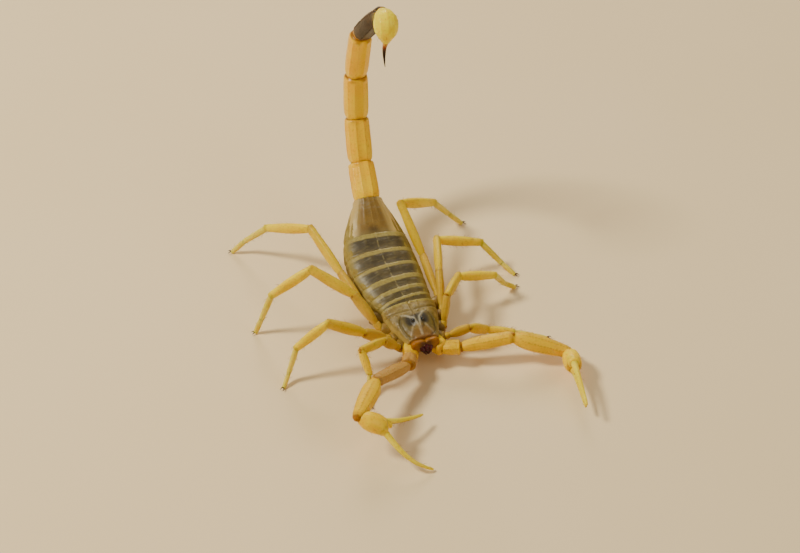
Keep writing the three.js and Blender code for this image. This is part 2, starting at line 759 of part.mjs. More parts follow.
/** A hip plate: a tapered block that runs out from under the body to a leg's root. */
function hipPlate({ hip, hipWay, scale }, extra = 0) {
  const { across, alongShare, drop, pull } = HIP.root;
  const middle = frontEdge.y + CARAPACE.length * alongShare;
  const from = new THREE.Vector3(Math.sign(hip.x) * across, lerp(hip.y, middle, pull), hip.z - drop);
  const place = placeOf(from, hip, UP);
  const block = link({
    length: from.distanceTo(hip),
    across: HIP.across.map((value) => value * scale + extra),
    deep: HIP.deep.map((value) => value * scale + extra),
    past: 0.1,
    around: 6,
    rows: 2,
  });
  return placed(extra ? block : keepBeyond(block, place, hip, hipWay.clone().negate()), place);
}

function buildUnderside(body, hips, hollows) {
  const joined = hips.reduce((sum, hip) => sum.add(hipPlate(hip)), body);
  const whole = hollows.reduce((sum, hollow) => sum.subtract(hollow), joined);
  const lower = keepBeyond(whole, new THREE.Matrix4(), sideMargin, backUp.clone().negate());
  add('prosoma_underside', lower, FINISH.coxa());
}

// ---- Assembly ----

const frontBody = buildProsoma();
buildChelicerae();
const hips = Object.keys(SIDES).flatMap((side) => LEG.lengths.map((_, pair) => buildLeg(side, pair)));
buildUnderside(frontBody, hips, Object.keys(SIDES).map(buildArm));
buildTrunk(hips.filter(({ pair }) => pair === LEG.lengths.length - 1).map((hip) => hipPlate(hip, GAP)));
buildPectines();
buildTail();
buildTelson();

scorpion.updateMatrixWorld(true);
const middle = new THREE.Box3().setFromObject(scorpion, true).getCenter(new THREE.Vector3()).setZ(0);
scorpion.children.forEach((mesh) => mesh.position.sub(middle));

export default scorpion;
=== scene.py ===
"""Looks of a life-size desert scorpion: shell plates, joint skin, bristles and studio, in metres."""

import math

import bpy
import numpy as np
from mathutils import Matrix, Vector


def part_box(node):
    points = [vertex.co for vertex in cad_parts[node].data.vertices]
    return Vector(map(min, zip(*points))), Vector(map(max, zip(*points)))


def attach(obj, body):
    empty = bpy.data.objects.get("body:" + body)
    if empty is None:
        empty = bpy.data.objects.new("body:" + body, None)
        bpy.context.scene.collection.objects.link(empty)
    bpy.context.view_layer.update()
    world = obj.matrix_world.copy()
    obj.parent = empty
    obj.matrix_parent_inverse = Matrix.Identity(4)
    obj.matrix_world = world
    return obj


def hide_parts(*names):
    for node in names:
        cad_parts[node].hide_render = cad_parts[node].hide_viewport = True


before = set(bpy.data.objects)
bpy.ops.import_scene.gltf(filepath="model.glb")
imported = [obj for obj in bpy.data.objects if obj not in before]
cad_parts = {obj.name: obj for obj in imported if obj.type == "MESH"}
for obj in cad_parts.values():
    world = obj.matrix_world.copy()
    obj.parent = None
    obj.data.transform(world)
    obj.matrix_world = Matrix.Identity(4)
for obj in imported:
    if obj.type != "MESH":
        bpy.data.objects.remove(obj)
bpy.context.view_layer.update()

MM = 0.001
UP = Vector((0, 0, 1))
SIDES = {"left": 1, "right": -1}
rng = np.random.default_rng(7)

# ---- The animal's sizes and pose, in millimetres and degrees ----

BACK = {
    "length": 7.9,
    "half_width": [2.7, 3.35, 4.05, 4.55, 4.75],
    "dome": [1.6, 2.1, 2.3, 2.35, 2.3],
    "depth": [1.5, 2.15, 2.4, 2.45, 2.4],
    "pitch": 3,
}
EYE = {"radius": 0.42, "spread": 0.72, "from_front": 3.25, "lift": 0.24, "mound": (1.15, 1.75, 0.75)}
JAW = {"reach": 2.5, "half_width": 1.05, "half_height": 0.95, "spread": 1.12, "lift": 0.25}
TRUNK = {
    "lengths": [1.4, 2.0, 2.5, 3.0, 3.5, 3.8, 7.3],
    "rise": [3, 4, 5, 7, 10, 14, 29],
    "turn": [-7, -6, -4, -2, 2, 7, 9],
    "below_back": 2.5,
    "half_width": [4.75, 5.3, 5.75, 6.0, 5.95, 5.65, 4.95, 3.75, 2.45],
    "top": [2.35, 2.65, 2.85, 2.9, 2.8, 2.6, 2.35, 2.15, 1.95],
    "bottom": [2.3, 2.6, 2.85, 2.95, 2.85, 2.6, 2.3, 2.1, 1.9],
}
COMB = {"length": 7.0, "teeth": 16, "thickness": 0.5, "sweep": 48, "drop": 0.35, "root": (0.75, -1.1)}
TAIL = {
    "lengths": [6.9, 7.9, 8.3, 9.6, 10.2],
    "half_width": [2.25, 2.12, 2.06, 1.9, 1.62],
    "lean": [50, 27, 7, -10, -36],
    "sideways": [4, 3, 2, 3, 10],
    "turn": 2,
}
STING = {
    "chord": 5.1,
    "lean": -128,
    "sideways": -7,
    "neck_lean": -85,
    "neck_reach": 3.2,
    "belly": 0.95,
    "half_width": [0.85, 1.5, 1.95, 2.0, 1.65, 0.62],
    "half_depth": [0.8, 1.35, 1.75, 1.8, 1.45, 0.58],
    "reach": 4.15,
    "end_lean": -163,
    "root_lean": -200,
    "bulb": 6.6,
    "horn": 4.4,
}
ARM = {
    "root": (2.7, -1.1, 3.15),
    "trochanter": (3.0, [0.9, 1.2, 1.15], [0.9, 1.15, 1.1]),
    "femur": (8.6, [0.8, 1.1, 1.1, 0.98], [0.75, 1.0, 1.0, 0.9]),
    "patella": (9.8, [0.85, 1.45, 1.45, 1.25, 0.85], [0.8, 1.2, 1.2, 1.1, 0.8]),
    "hand": (4.8, [0.75, 1.45, 1.6, 1.5], [0.7, 1.35, 1.5, 1.3]),
    "hinge": 0.85,
}
FINGER = {"fixed": (8.9, 0.68, 0.25), "moving": (9.9, 0.62, 0.25)}
FINGER_TAPER = 0.65
ARM_POSE = {
    "left": {
        "turn": [-20, -14, -23, -102],
        "rise": [3, 9, -17, 15],
        "roll": 84,
        "fixed": (-15.4, 0.31),
        "moving": (-16.4, 0.29),
    },
    "right": {
        "turn": [-63, -31, -53, -163],
        "rise": [12, 18, 7, -30],
        "roll": -7,
        "fixed": (-31, 0.43),
        "moving": (23.9, 1.54),
    },
}
LEG = {
    "hip": [(3.95, 0.9, 2.9), (4.65, 3.2, 2.95), (5.4, 5.7, 2.85), (6.05, 8.8, 2.75)],
    "lengths": [
        [4.3, 4.9, 4.7, 3.3, 2.4],
        [5.4, 6.9, 6.7, 4.6, 2.8],
        [7.4, 8.2, 8.2, 5.3, 3.1],
        [9.4, 9.8, 9.2, 6.3, 3.5],
    ],
    "scale": [0.85, 0.97, 1, 1],
    "root": ([0.5, 0.55, 0.5], [0.6, 0.72, 0.7]),
    "femur": ([0.5, 0.65, 0.68, 0.6], [0.6, 0.98, 1.06, 0.9]),
    "patella": ([0.58, 0.72, 0.7, 0.6], [0.75, 1.05, 1.0, 0.85]),
    "tibia": ([0.52, 0.64, 0.6, 0.48], [0.72, 0.92, 0.86, 0.64]),
    "instep": ([0.42, 0.44, 0.42, 0.38], [0.52, 0.54, 0.5, 0.44]),
    "toe": ([0.35, 0.37, 0.37, 0.28], [0.42, 0.45, 0.44, 0.3]),
    "sole": 0.13,
    "claw": (0.8, 0.12, 0.04, 24),
}
LEG_POSE = {
    "left": [
        ([-8, 22, -12, -25, -30], [16, -36, -14, -8]),
        ([55, 53, -1, 31, 4], [67, -13, -14, -54]),
        ([75, 72, -3, -36, -52], [34, -2, -18, -45]),
        ([87, 99, 25, 28, -16], [12, 37, -30, -52]),
    ],
    "right": [
        ([-14, -21, -131, -67, -80], [47, 10, -72, -44]),
        ([-2, 8, 3, -23, -46], [34, 29, -37, -68]),
        ([50, 40, 11, 12, -1], [47, 24, -36, -70]),
        ([76, 76, 48, 44, 20], [19, 19, -21, -46]),
    ],
}
PLATE = {"shield": 0.22, "ring": 0.12, "covers": 0.42, "belly_covers": 0.35, "last_covers": 0.1}
BRISTLE = {"length": 0.6, "thick": 0.03, "lean": 0.7, "clear": 0.7, "cell": 0.02}
CAP = ((0, 0.62), (0.3, 0.9))  # a blunt end: how far into it, and the share of the full size there
CAMERA = {"turn": -20, "lift": 42, "away": 0.45, "aim": (3.55, 13.37), "lens": 119.1, "film": 36}
LIGHTS = {
    "key": ((-0.35, 0.1, 0.45), (0, 0, 0.01), 0.12, 3.1, (1.0, 0.94, 0.76)),
    "fill": ((0.4, -0.35, 0.35), (0, 0, 0.01), 0.4, 0.7, (1.0, 0.95, 0.84)),
    "rim": ((0.15, 0.5, 0.35), (0, 0, 0.02), 0.25, 1.4, (1.0, 0.95, 0.82)),
}
haired = []  # each piece that carries bristles, with its slot and how many it has


# ---- Directions and joints ----


def heading(side, turn, rise):
    """A limb's direction: turn from straight out towards the tail, and rise from level."""
    t, r = math.radians(turn), math.radians(rise)
    return Vector((side * math.cos(t) * math.cos(r), math.sin(t) * math.cos(r), math.sin(r)))


def leaning(lean, sideways=0):
    """A direction that leans back from upright in the tail's own plane."""
    back, tilt = math.radians(lean), math.radians(sideways)
    way = Vector((math.sin(tilt), math.sin(back) * math.cos(tilt), math.cos(back) * math.cos(tilt)))
    return Matrix.Rotation(math.radians(-TAIL["turn"]), 3, "Z") @ way


def chain(start, ways, lengths):
    points = [start]
    for way, length in zip(ways, lengths):
        points.append(points[-1] + way * length * MM)
    return points


def through(values):
    """A smooth run through evenly spaced values, read from 0 to 1."""
    count = len(values) - 1

    def read(t):
        s = min(max(t, 0), 1) * count
        i = min(int(s), count - 1)
        u = s - i
        a, b = values[i], values[i + 1]
        slope_a = (b - values[max(i - 1, 0)]) / 2
        slope_b = (values[min(i + 2, count)] - a) / 2
        rise = (2 * u**3 - 3 * u**2 + 1) * a + (3 * u**2 - 2 * u**3) * b
        return rise + (u**3 - 2 * u**2 + u) * slope_a + (u**3 - u**2) * slope_b

    return read


def place_of(start, end, back=UP):
    """Y runs along the piece, Z towards its back and X across it."""
    along = (end - start).normalized()
    across = along.cross(back).normalized()
    upward = across.cross(along)
    turn = Matrix((across, along, upward)).transposed().to_4x4()
    return Matrix.Translation(start) @ turn


def middle(node):
    low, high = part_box(node)
    return (Vector(low) + Vector(high)) / 2


pitch = math.radians(BACK["pitch"])
forward = Vector((0, -math.cos(pitch), -math.sin(pitch)))
back_up = Vector((0, -math.sin(pitch), math.cos(pitch)))
dome = through(BACK["dome"])
eye_height = dome(EYE["from_front"] / BACK["length"]) + EYE["lift"]
eyes_middle = (middle("eye_left") + middle("eye_right")) / 2
margin_front = eyes_middle + forward * EYE["from_front"] * MM - back_up * eye_height * MM
front_edge = margin_front + back_up * BACK["dome"][-1] * MM
hind_edge = front_edge - forward * BACK["length"] * MM


def from_front(across, behind, below):
    """A point beside, behind and below the middle of the front edge."""
    return front_edge + Vector((across, 0, 0)) * MM - forward * behind * MM - back_up * below * MM


shield_place = place_of(margin_front, from_front(0, BACK["length"], BACK["dome"][-1]), back_up)
trunk_ways = [heading(1, 90 - turn, rise) for turn, rise in zip(TRUNK["turn"], TRUNK["rise"])]
trunk = chain(hind_edge - UP * TRUNK["below_back"] * MM, trunk_ways, TRUNK["lengths"])
tail_ways = [leaning(lean, side) for lean, side in zip(TAIL["lean"], TAIL["sideways"])]
tail = chain(trunk[-1], tail_ways, TAIL["lengths"])
sting_root = tail[-1] + leaning(STING["lean"], STING["sideways"]) * STING["chord"] * MM


def leg_joints(side, pair):
    """A leg's six joints, the last one just above the floor."""
    sign = SIDES[side]
    turns, rises = LEG_POSE[side][pair]
    lengths = LEG["lengths"][pair]
    ways = [heading(sign, turn, rise) for turn, rise in zip(turns, rises)]
    across, behind, below = LEG["hip"][pair]
    points = chain(from_front(sign * across, behind, below), ways, lengths)
    drop = (LEG["sole"] * MM - points[-1].z) / (lengths[4] * MM)
    last = heading(sign, turns[4], math.degrees(math.asin(min(max(drop, -1), 1))))
    return points + [points[-1] + last * lengths[4] * MM]


def arm_joints(side):
    sign, pose = SIDES[side], ARM_POSE[side]
    ways = [heading(sign, turn, rise) for turn, rise in zip(pose["turn"], pose["rise"])]
    across, behind, below = ARM["root"]
    lengths = [ARM[name][0] for name in ("trochanter", "femur", "patella", "hand")]
    return chain(from_front(sign * across, behind, below), ways, lengths)


# ---- Modelling ----


def select_only(piece):
    bpy.ops.object.select_all(action="DESELECT")
    piece.select_set(True)
    bpy.context.view_layer.objects.active = piece


def apply_modifier(piece, kind, **settings):
    select_only(piece)
    modifier = piece.modifiers.new(kind.title(), kind)
    for key, value in settings.items():
        setattr(modifier, key, value)
    bpy.ops.object.modifier_apply(modifier=modifier.name)


def points_of(piece):
    values = np.empty(len(piece.data.vertices) * 3, np.float32)
    piece.data.vertices.foreach_get("co", values)
    return values.reshape(-1, 3).astype(float)


def normals_of(piece):
    values = np.empty(len(piece.data.vertices) * 3, np.float32)
    piece.data.vertex_normals.foreach_get("vector", values)
    return values.reshape(-1, 3).astype(float)


def move_points(piece, values):
    piece.data.vertices.foreach_set("co", values.astype(np.float32).ravel())
    piece.data.update()


def store(piece, name, values):
    attribute = piece.data.attributes.get(name) or piece.data.attributes.new(name, "FLOAT_VECTOR", "POINT")
    attribute.data.foreach_set("vector", values.astype(np.float32).ravel())


def stored(piece, name):
    values = np.zeros(len(piece.data.vertices) * 3, np.float32)
    if name in piece.data.attributes:
        piece.data.attributes[name].data.foreach_get("vector", values)
    return values.reshape(-1, 3).astype(float)


def tube(
    name, length, wide, high, low=None, ends=(0, 1), steps=6, around=12, blunt=0.35, levels=2, square=0.9
):
    """A closed tube along +Y, extruded from a circle, with half sizes wide, high and low in millimetres.

    Its "spot" attribute holds how far across, along and up each point is, as shares of those sizes.
    """
    wide, high, low = (through(t) if isinstance(t, list) else t for t in (wide, high, low or high))
    first, last = ends
    cap = blunt / length
    marks = [(f, 1) for f in np.linspace(first + cap, last - cap, steps + 1)]
    if blunt:
        marks = [(first + d * cap, share) for d, share in CAP] + marks
        marks += [(last - d * cap, share) for d, share in reversed(CAP)]
    rings = [(f * length * MM, wide(f) * share * MM, high(f) * share * MM) for f, share in marks]
    bpy.ops.object.select_all(action="DESELECT")
    y, w, h = rings[0]
    bpy.ops.mesh.primitive_circle_add(
        vertices=around, radius=1, fill_type="NGON", location=(0, y, 0), rotation=(math.pi / 2, 0, 0)
    )
    piece = bpy.context.object
    piece.name = piece.data.name = name
    bpy.ops.object.transform_apply(location=True, rotation=True, scale=True)
    bpy.ops.object.mode_set(mode="EDIT")
    bpy.ops.mesh.select_all(action="SELECT")
    bpy.ops.transform.resize(value=(w, 1, h), center_override=(0, y, 0))
    for (y0, w0, h0), (y1, w1, h1) in zip(rings, rings[1:]):
        bpy.ops.mesh.extrude_region_move(TRANSFORM_OT_translate={"value": (0, y1 - y0, 0)})
        bpy.ops.transform.resize(value=(w1 / w0, 1, h1 / h0), center_override=(0, y1, 0))
    bpy.ops.mesh.select_all(action="SELECT")
    bpy.ops.mesh.normals_make_consistent(inside=False)
    bpy.ops.object.mode_set(mode="OBJECT")

    def sizes(co):
        grid = np.linspace(first, last, 97)
        return [np.interp(co[:, 1] / length, grid, [size(g) for g in grid]) for size in (wide, high, low)]

    co = points_of(piece) / MM
    w, h, b = sizes(co)
    a, c = co[:, 0] / w, co[:, 2] / h
    reach = np.hypot(a, c)
    angle = np.arctan2(c, a)
    co[:, 0] = w * reach * np.sign(a) * np.abs(np.cos(angle)) ** square
    up = reach * np.sign(c) * np.abs(np.sin(angle)) ** square
    co[:, 2] = np.where(up > 0, h, b) * up
    move_points(piece, co * MM)
    if levels:
        apply_modifier(piece, "SUBSURF", levels=levels, render_levels=levels)
        grown = points_of(piece)
        grown[:, ::2] *= 3 / (2 + math.cos(2 * math.pi / around))
        move_points(piece, grown)
    co = points_of(piece) / MM
    w, h, b = sizes(co)
    up = co[:, 2] / np.where(co[:, 2] > 0, h, b)
    store(piece, "spot", np.stack([co[:, 0] / w, co[:, 1] / length, up], 1))
    return piece


def relief(piece, height, tint=None):
    """Raises the surface by height(spot, place) millimetres, and may keep how pale, dark and warm it is."""
    co, normals = points_of(piece), normals_of(piece)
    spot, place = stored(piece, "spot"), co / MM
    move_points(piece, co + normals * height(spot, place)[:, None] * MM)
    if tint:
        store(piece, "tint", np.stack(np.broadcast_arrays(*tint(spot, place)), 1))


def lay(piece, length, path, up):
    """Lays a straight piece along path(0 to 1), in metres, with its back towards up."""
    grid = np.linspace(-0.25, 1.25, 151)
    line = np.array([path(g) for g in grid])
    slope = np.gradient(line, axis=0)
    slope /= np.linalg.norm(slope, axis=1)[:, None]
    across = np.cross(slope, np.array(up))
    across /= np.linalg.norm(across, axis=1)[:, None]
    raised = np.cross(across, slope)
    co = points_of(piece)
    t = co[:, 1] / (length * MM)

    def at(values):
        return np.stack([np.interp(t, grid, values[:, k]) for k in range(3)], 1)

    move_points(piece, at(line) + co[:, :1] * at(across) + co[:, 2:] * at(raised))
    return piece


def put(piece, matrix):
    select_only(piece)
    piece.matrix_world = matrix
    bpy.ops.object.transform_apply(location=True, rotation=True, scale=True)
    return piece


def painted(piece, paint):
    piece.data.materials.clear()
    piece.data.materials.append(paints[paint])
    return piece


def join(name, pieces):
    bpy.ops.object.select_all(action="DESELECT")
    for piece in pieces:
        piece.select_set(True)
    bpy.context.view_layer.objects.active = pieces[0]
    bpy.ops.object.join()
    joined = bpy.context.object
    joined.name = joined.data.name = name
    return joined


def copied(piece, name, matrix):
    """A copy with its own mesh, moved by a matrix."""
    twin = piece.copy()
    twin.data = piece.data.copy()
    twin.name = twin.data.name = name
    bpy.context.collection.objects.link(twin)
    return put(twin, matrix)


def keep_above(piece, level, thickness):
    """Cuts a closed shell at a height and makes what is above it a plate, both in millimetres."""
    select_only(piece)
    bpy.ops.object.mode_set(mode="EDIT")
    bpy.ops.mesh.select_all(action="SELECT")
    bpy.ops.mesh.bisect(plane_co=(0, 0, level * MM), plane_no=(0, 0, 1), clear_inner=True, use_fill=False)
    bpy.ops.object.mode_set(mode="OBJECT")
    apply_modifier(piece, "SOLIDIFY", thickness=thickness * MM, offset=-1, use_even_offset=False)


def finished(piece, slot, paint=None, nodes=None):
    """Paints and smooths a piece that stands for the node of its slot, or for the nodes given."""
    if paint:
        painted(piece, paint)
    select_only(piece)
    bpy.ops.object.shade_smooth_by_angle(angle=math.radians(50))
    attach(piece, "root")
    nodes = (slot,) if nodes is None else nodes
    if nodes:
        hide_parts(*nodes)


# ---- Relief patterns ----


def ridge(distance, width):
    """A rounded ridge, 1 at its crest."""
    return np.exp(-((distance / width) ** 2))


def ramp(value, low, high):
    t = np.clip((value - low) / (high - low), 0, 1)
    return t * t * (3 - 2 * t)


def along_middle(f, start, full, fall, end):
    """1 along the middle of a piece, and 0 at both of its ends."""
    return ramp(f, start, full) * (1 - ramp(f, fall, end))


def angle_round(spot):
    """Angle round a piece from its back, in degrees, to either side."""
    return np.degrees(np.arctan2(spot[:, 0], spot[:, 2]))


def keel_angles(spot):
    """Angle round a piece from its back, in degrees, alike on both sides."""
    return np.abs(angle_round(spot))


def keels_at(angle, keels, width, half=1):
    """Rounded keels at some angles round a piece of a given half size."""
    return sum(ridge(np.radians((angle - keel + 180) % 360 - 180) * half, width) for keel in keels)


def beads(along, spacing):
    """A row of beads along a ridge, as a share of its height."""
    return 0.4 + 0.6 * np.abs(np.sin(np.pi * along / spacing))


def off_line(x, y, points):
    """How far each place is from a line through points."""
    best = np.full(len(x), 1e9)
    for (x0, y0), (x1, y1) in zip(points, points[1:]):
        dx, dy = x1 - x0, y1 - y0
        t = np.clip(((x - x0) * dx + (y - y0) * dy) / (dx * dx + dy * dy), 0, 1)
        best = np.minimum(best, np.hypot(x - x0 - t * dx, y - y0 - t * dy))
    return best


JITTER = rng.random((32, 32, 32, 3))


def grains(place, spacing, size, keep=1.0):
    """Small round grains, one near each cell of a grid, as heights from 0 to 1."""
    cell = np.floor(place / spacing).astype(int)
    best = np.zeros(len(place))
    for shift in np.ndindex(3, 3, 3):
        near = cell + np.array(shift) - 1
        seed = JITTER[near[:, 0] % 32, near[:, 1] % 32, near[:, 2] % 32]
        gap = np.linalg.norm(place - (near + 0.2 + 0.6 * seed) * spacing, axis=1)
        bump = np.sqrt(np.clip(1 - (gap / (size * (0.6 + 0.6 * seed[:, 2]))) ** 2, 0, 1))
        best = np.maximum(best, bump * (seed[:, 0] < keep))
    return best


# ---- Materials ----


class Value:
    """A number in a material, so that its maths is written as on paper."""

    def __init__(self, paint, socket):
        self.paint, self.socket = paint, socket

    def _maths(self, operation, *values):
        return self.paint.number("ShaderNodeMath", {"operation": operation}, dict(enumerate(values)))

    def __add__(self, other):
        return self._maths("ADD", self, other)

    def __sub__(self, other):
        return self._maths("SUBTRACT", self, other)

    def __rsub__(self, other):
        return self._maths("SUBTRACT", other, self)

    def __mul__(self, other):
        return self._maths("MULTIPLY", self, other)

    def __abs__(self):
        return self._maths("ABSOLUTE", self)

    __radd__, __rmul__ = __add__, __mul__

    def most(self, other):
        return self._maths("MAXIMUM", self, other)

    def between(self, low, high):
        """0 below low, 1 above high, and smooth between."""
        inputs = {"Value": self, "From Min": low, "From Max": high, "To Min": 0.0, "To Max": 1.0}
        return self.paint.number("ShaderNodeMapRange", {"interpolation_type": "SMOOTHSTEP"}, inputs)


def rgb(code):
    """A colour from its six hex figures, as light."""
    parts = [int(code[i : i + 2], 16) / 255 for i in (0, 2, 4)]
    return tuple(p / 12.92 if p <= 0.04045 else ((p + 0.055) / 1.055) ** 2.4 for p in parts) + (1.0,)


class Paint:
    """A material under construction."""

    def __init__(self, name, shader):
        self.material = bpy.data.materials.new(name)
        self.material.use_nodes = True
        self.tree = self.material.node_tree
        self.shader = self.tree.nodes["Principled BSDF"]
        for key, value in shader.items():
            self.shader.inputs[key].default_value = value
        self.across, self.along, self.back = self.parts("spot")
        self.pale, self.dark, self.warm = self.parts("tint")
        self.place = self.node("ShaderNodeTexCoord", {}, {}).outputs["Object"]

    def parts(self, attribute):
        source = self.node("ShaderNodeAttribute", {"attribute_name": attribute}, {})
        split = self.node("ShaderNodeSeparateXYZ", {}, {"Vector": source.outputs["Vector"]})
        return [Value(self, socket) for socket in split.outputs]

    def node(self, kind, settings, inputs):
        node = self.tree.nodes.new(kind)
        for key, value in settings.items():
            setattr(node, key, value)
        for key, value in inputs.items():
            value = value.socket if isinstance(value, Value) else value
            if isinstance(value, bpy.types.NodeSocket):
                self.tree.links.new(value, node.inputs[key])
            else:
                node.inputs[key].default_value = value
        return node

    def number(self, kind, settings, inputs):
        return Value(self, self.node(kind, settings, inputs).outputs[0])

    def noise(self, scale, detail=3.0, stretch=(1, 1, 1)):
        """A noise from 0 to 1 with lumps of 1/scale millimetres."""
        place = self.node("ShaderNodeMapping", {}, {"Vector": self.place, "Scale": [s / MM for s in stretch]})
        inputs = {"Vector": place.outputs[0], "Scale": scale, "Detail": detail}
        return self.number("ShaderNodeTexNoise", {}, inputs)

    def blend(self, share, first, second):
        """The second colour over the first, by a share, as the ground for the colours over them."""
        first, second = (rgb(c) if isinstance(c, str) else c for c in (first, second))
        mixed = self.node("ShaderNodeMix", {"data_type": "RGBA"}, {0: share, 6: first, 7: second})
        self.base = mixed.outputs[2]

    def over(self, share, colour):
        self.blend(share, self.base, colour)

    def done(self, rough, bump, strength, depth):
        self.tree.links.new(self.base, self.shader.inputs["Base Color"])
        self.tree.links.new(rough.socket, self.shader.inputs["Roughness"])
        inputs = {"Strength": strength, "Distance": depth * MM, "Height": bump}
        node = self.node("ShaderNodeBump", {}, inputs)
        self.tree.links.new(node.outputs[0], self.shader.inputs["Normal"])
        return self.material


SHELL = {
    "Subsurface Weight": 0.35,
    "Subsurface Radius": (1.0, 0.5, 0.12),
    "Subsurface Scale": 0.0011,
    "Coat Weight": 0.08,
    "Coat Roughness": 0.3,
    "Specular IOR Level": 0.35,
    "Specular Tint": (1.0, 0.8, 0.5, 1.0),
}
MATT = {"Subsurface Weight": 0.1}
WHITE_GLOSS = {"Specular Tint": (1, 1, 1, 1)}


def limb_paint(name, main, pale, dark, ring, ringed, top=None, shine=0.36, reach=0.05, coat=0.08):
    """Clear horny shell: cloudy and darker at its joints; a top colour, where given, is a painted highlight
    that makes its back lighter, as where light falls from above.
    """
    paint = Paint(name, SHELL | {"Coat Weight": coat})
    cloud, fine = paint.noise(0.3), paint.noise(2.5, 5.0)
    paint.blend(cloud.between(0.36, 0.64) * 0.8, main, pale)
    if top:
        # painted highlight: the back of the piece is painted lighter, as where light falls on it from above
        paint.over(paint.back.between(0.1, 0.9) * 0.75, top)
    paint.over(fine.between(0.5, 0.8) * 0.35, dark)
    wobble = (paint.noise(0.8) - 0.5) * reach
    near = 1 - (paint.along + wobble).between(0.0, reach * 1.3)
    far = (paint.along + wobble).between(1 - reach * 1.3, 1.0)
    paint.over(near.most(far) * ringed, ring)
    paint.over(paint.warm * 0.8, ring)
    paint.over(paint.dark * 0.8, dark)
    paint.over(paint.pale * 0.6, pale)
    return paint.done(shine + 0.2 * fine, fine, 0.25, 0.012)


def soft_paint(name, main, other, scale, shine, stretch=(1, 1, 1), shader=SHELL):
    """Skin or plain shell in two cloudy tones, with fine folds."""
    paint = Paint(name, shader)
    cloud, folds = paint.noise(scale, 4.0), paint.noise(scale * 4, 4.0, stretch)
    paint.blend(cloud.between(0.35, 0.68), main, other)
    paint.over(paint.dark * 0.8, "5b4526")
    return paint.done(shine + 0.2 * cloud, folds, 0.4, 0.03)


def back_plate_paint(
    name, dark, darker, margin, flank, edge_at, line="a89a68", front_band=0.12, side_at=0.78
):
    """A back plate: a dark band with a pale hind margin, pale flanks and a faint middle line."""
    paint = Paint(name, SHELL | MATT | WHITE_GLOSS)
    fine, cloud, streak = paint.noise(2.2, 5.0), paint.noise(0.5), paint.noise(0.6, 4.0, (1, 4, 2))
    wobble = (streak - 0.5) * 0.3
    paint.blend(cloud.between(0.35, 0.65) * 0.7, dark, darker)
    paint.over(streak.between(0.5, 0.75) * 0.4, "7c7048")
    paint.over(fine.between(0.55, 0.8) * 0.5, "2a2416")
    glint = (paint.along + wobble).between(edge_at - 0.3, edge_at - 0.12) * streak.between(0.48, 0.62)
    paint.over(glint * 0.18, "8c8a84")
    behind = (paint.along + wobble * 0.4).between(edge_at - 0.04, edge_at + 0.08)
    paint.over(behind * (0.55 + 0.45 * cloud), margin)
    paint.over(behind * fine.between(0.45, 0.7) * 0.45, "6e5c30")
    front = 1 - (paint.along + wobble * 0.5).between(front_band * 0.3, front_band)
    paint.over(front * 0.7, "7c6c40")
    aside = abs(paint.across) + (cloud - 0.5) * 0.12
    paint.over(aside.between(side_at - 0.12, side_at + 0.2) * 0.95, flank)
    middle_line = (1 - abs(paint.across).between(0.006, 0.03)) * fine.between(0.35, 0.6)
    paint.over(middle_line * 0.4, line)
    paint.over(paint.pale * 0.6, margin)
    paint.over(paint.dark * 0.8, "3a2a16")
    return paint.done(0.32 + 0.25 * fine, fine, 0.4, 0.02)


def carapace_paint():
    """Tan front, dark patches round the eyes, a lyre of ridges painted pale as a highlight, and a banded hind
    part.
    """
    paint = Paint("carapace_shell", SHELL | {"Subsurface Weight": 0.12} | WHITE_GLOSS)
    fine, cloud, blots = paint.noise(2.2, 5.0), paint.noise(0.7), paint.noise(1.1, 4.0)
    behind, aside = paint.along + (cloud - 0.5) * 0.08, abs(paint.across) + (blots - 0.5) * 0.15
    paint.blend(cloud.between(0.35, 0.7) * 0.8, "7c6628", "967e3c")
    tan = (1 - behind.between(0.15, 0.33)) * (1 - aside.between(0.5, 0.8))
    paint.over(tan * 0.85, "7e5a28")
    cheek = aside.between(0.34, 0.46) * (1 - aside.between(0.72, 0.86)) * behind.between(0.1, 0.25)
    paint.over(cheek * (1 - behind.between(0.55, 0.68)) * 0.8, "5c4e20")
    patch = (1 - aside.between(0.34, 0.58)) * behind.between(0.26, 0.36) * (1 - behind.between(0.55, 0.7))
    paint.over(patch * (0.5 + 0.8 * blots), "2a2822")
    hind = behind.between(0.56, 0.64) * (1 - behind.between(0.84, 0.91)) * (1 - aside.between(0.5, 0.8))
    paint.over(hind * (0.3 + 0.6 * blots), "8c7a4c")
    paint.over(behind.between(0.91, 0.97) * 0.85, "a8964a")
    paint.over(fine.between(0.48, 0.72) * 0.5, "4a3818")
    paint.over(aside.between(0.88, 1.0) * 0.6, "b89c50")
    front = 1 - paint.along.between(0.01, 0.06)
    paint.over(front * 0.6, "946434")
    paint.over(paint.dark * (0.5 + 0.6 * cloud), "241c12")
    # painted highlight along the lyre and corner ridges, carried by the pale tint
    paint.over(paint.pale * (0.3 + 0.8 * blots), "c8bda0")
    return paint.done(0.28 + 0.3 * fine, fine, 0.4, 0.02)


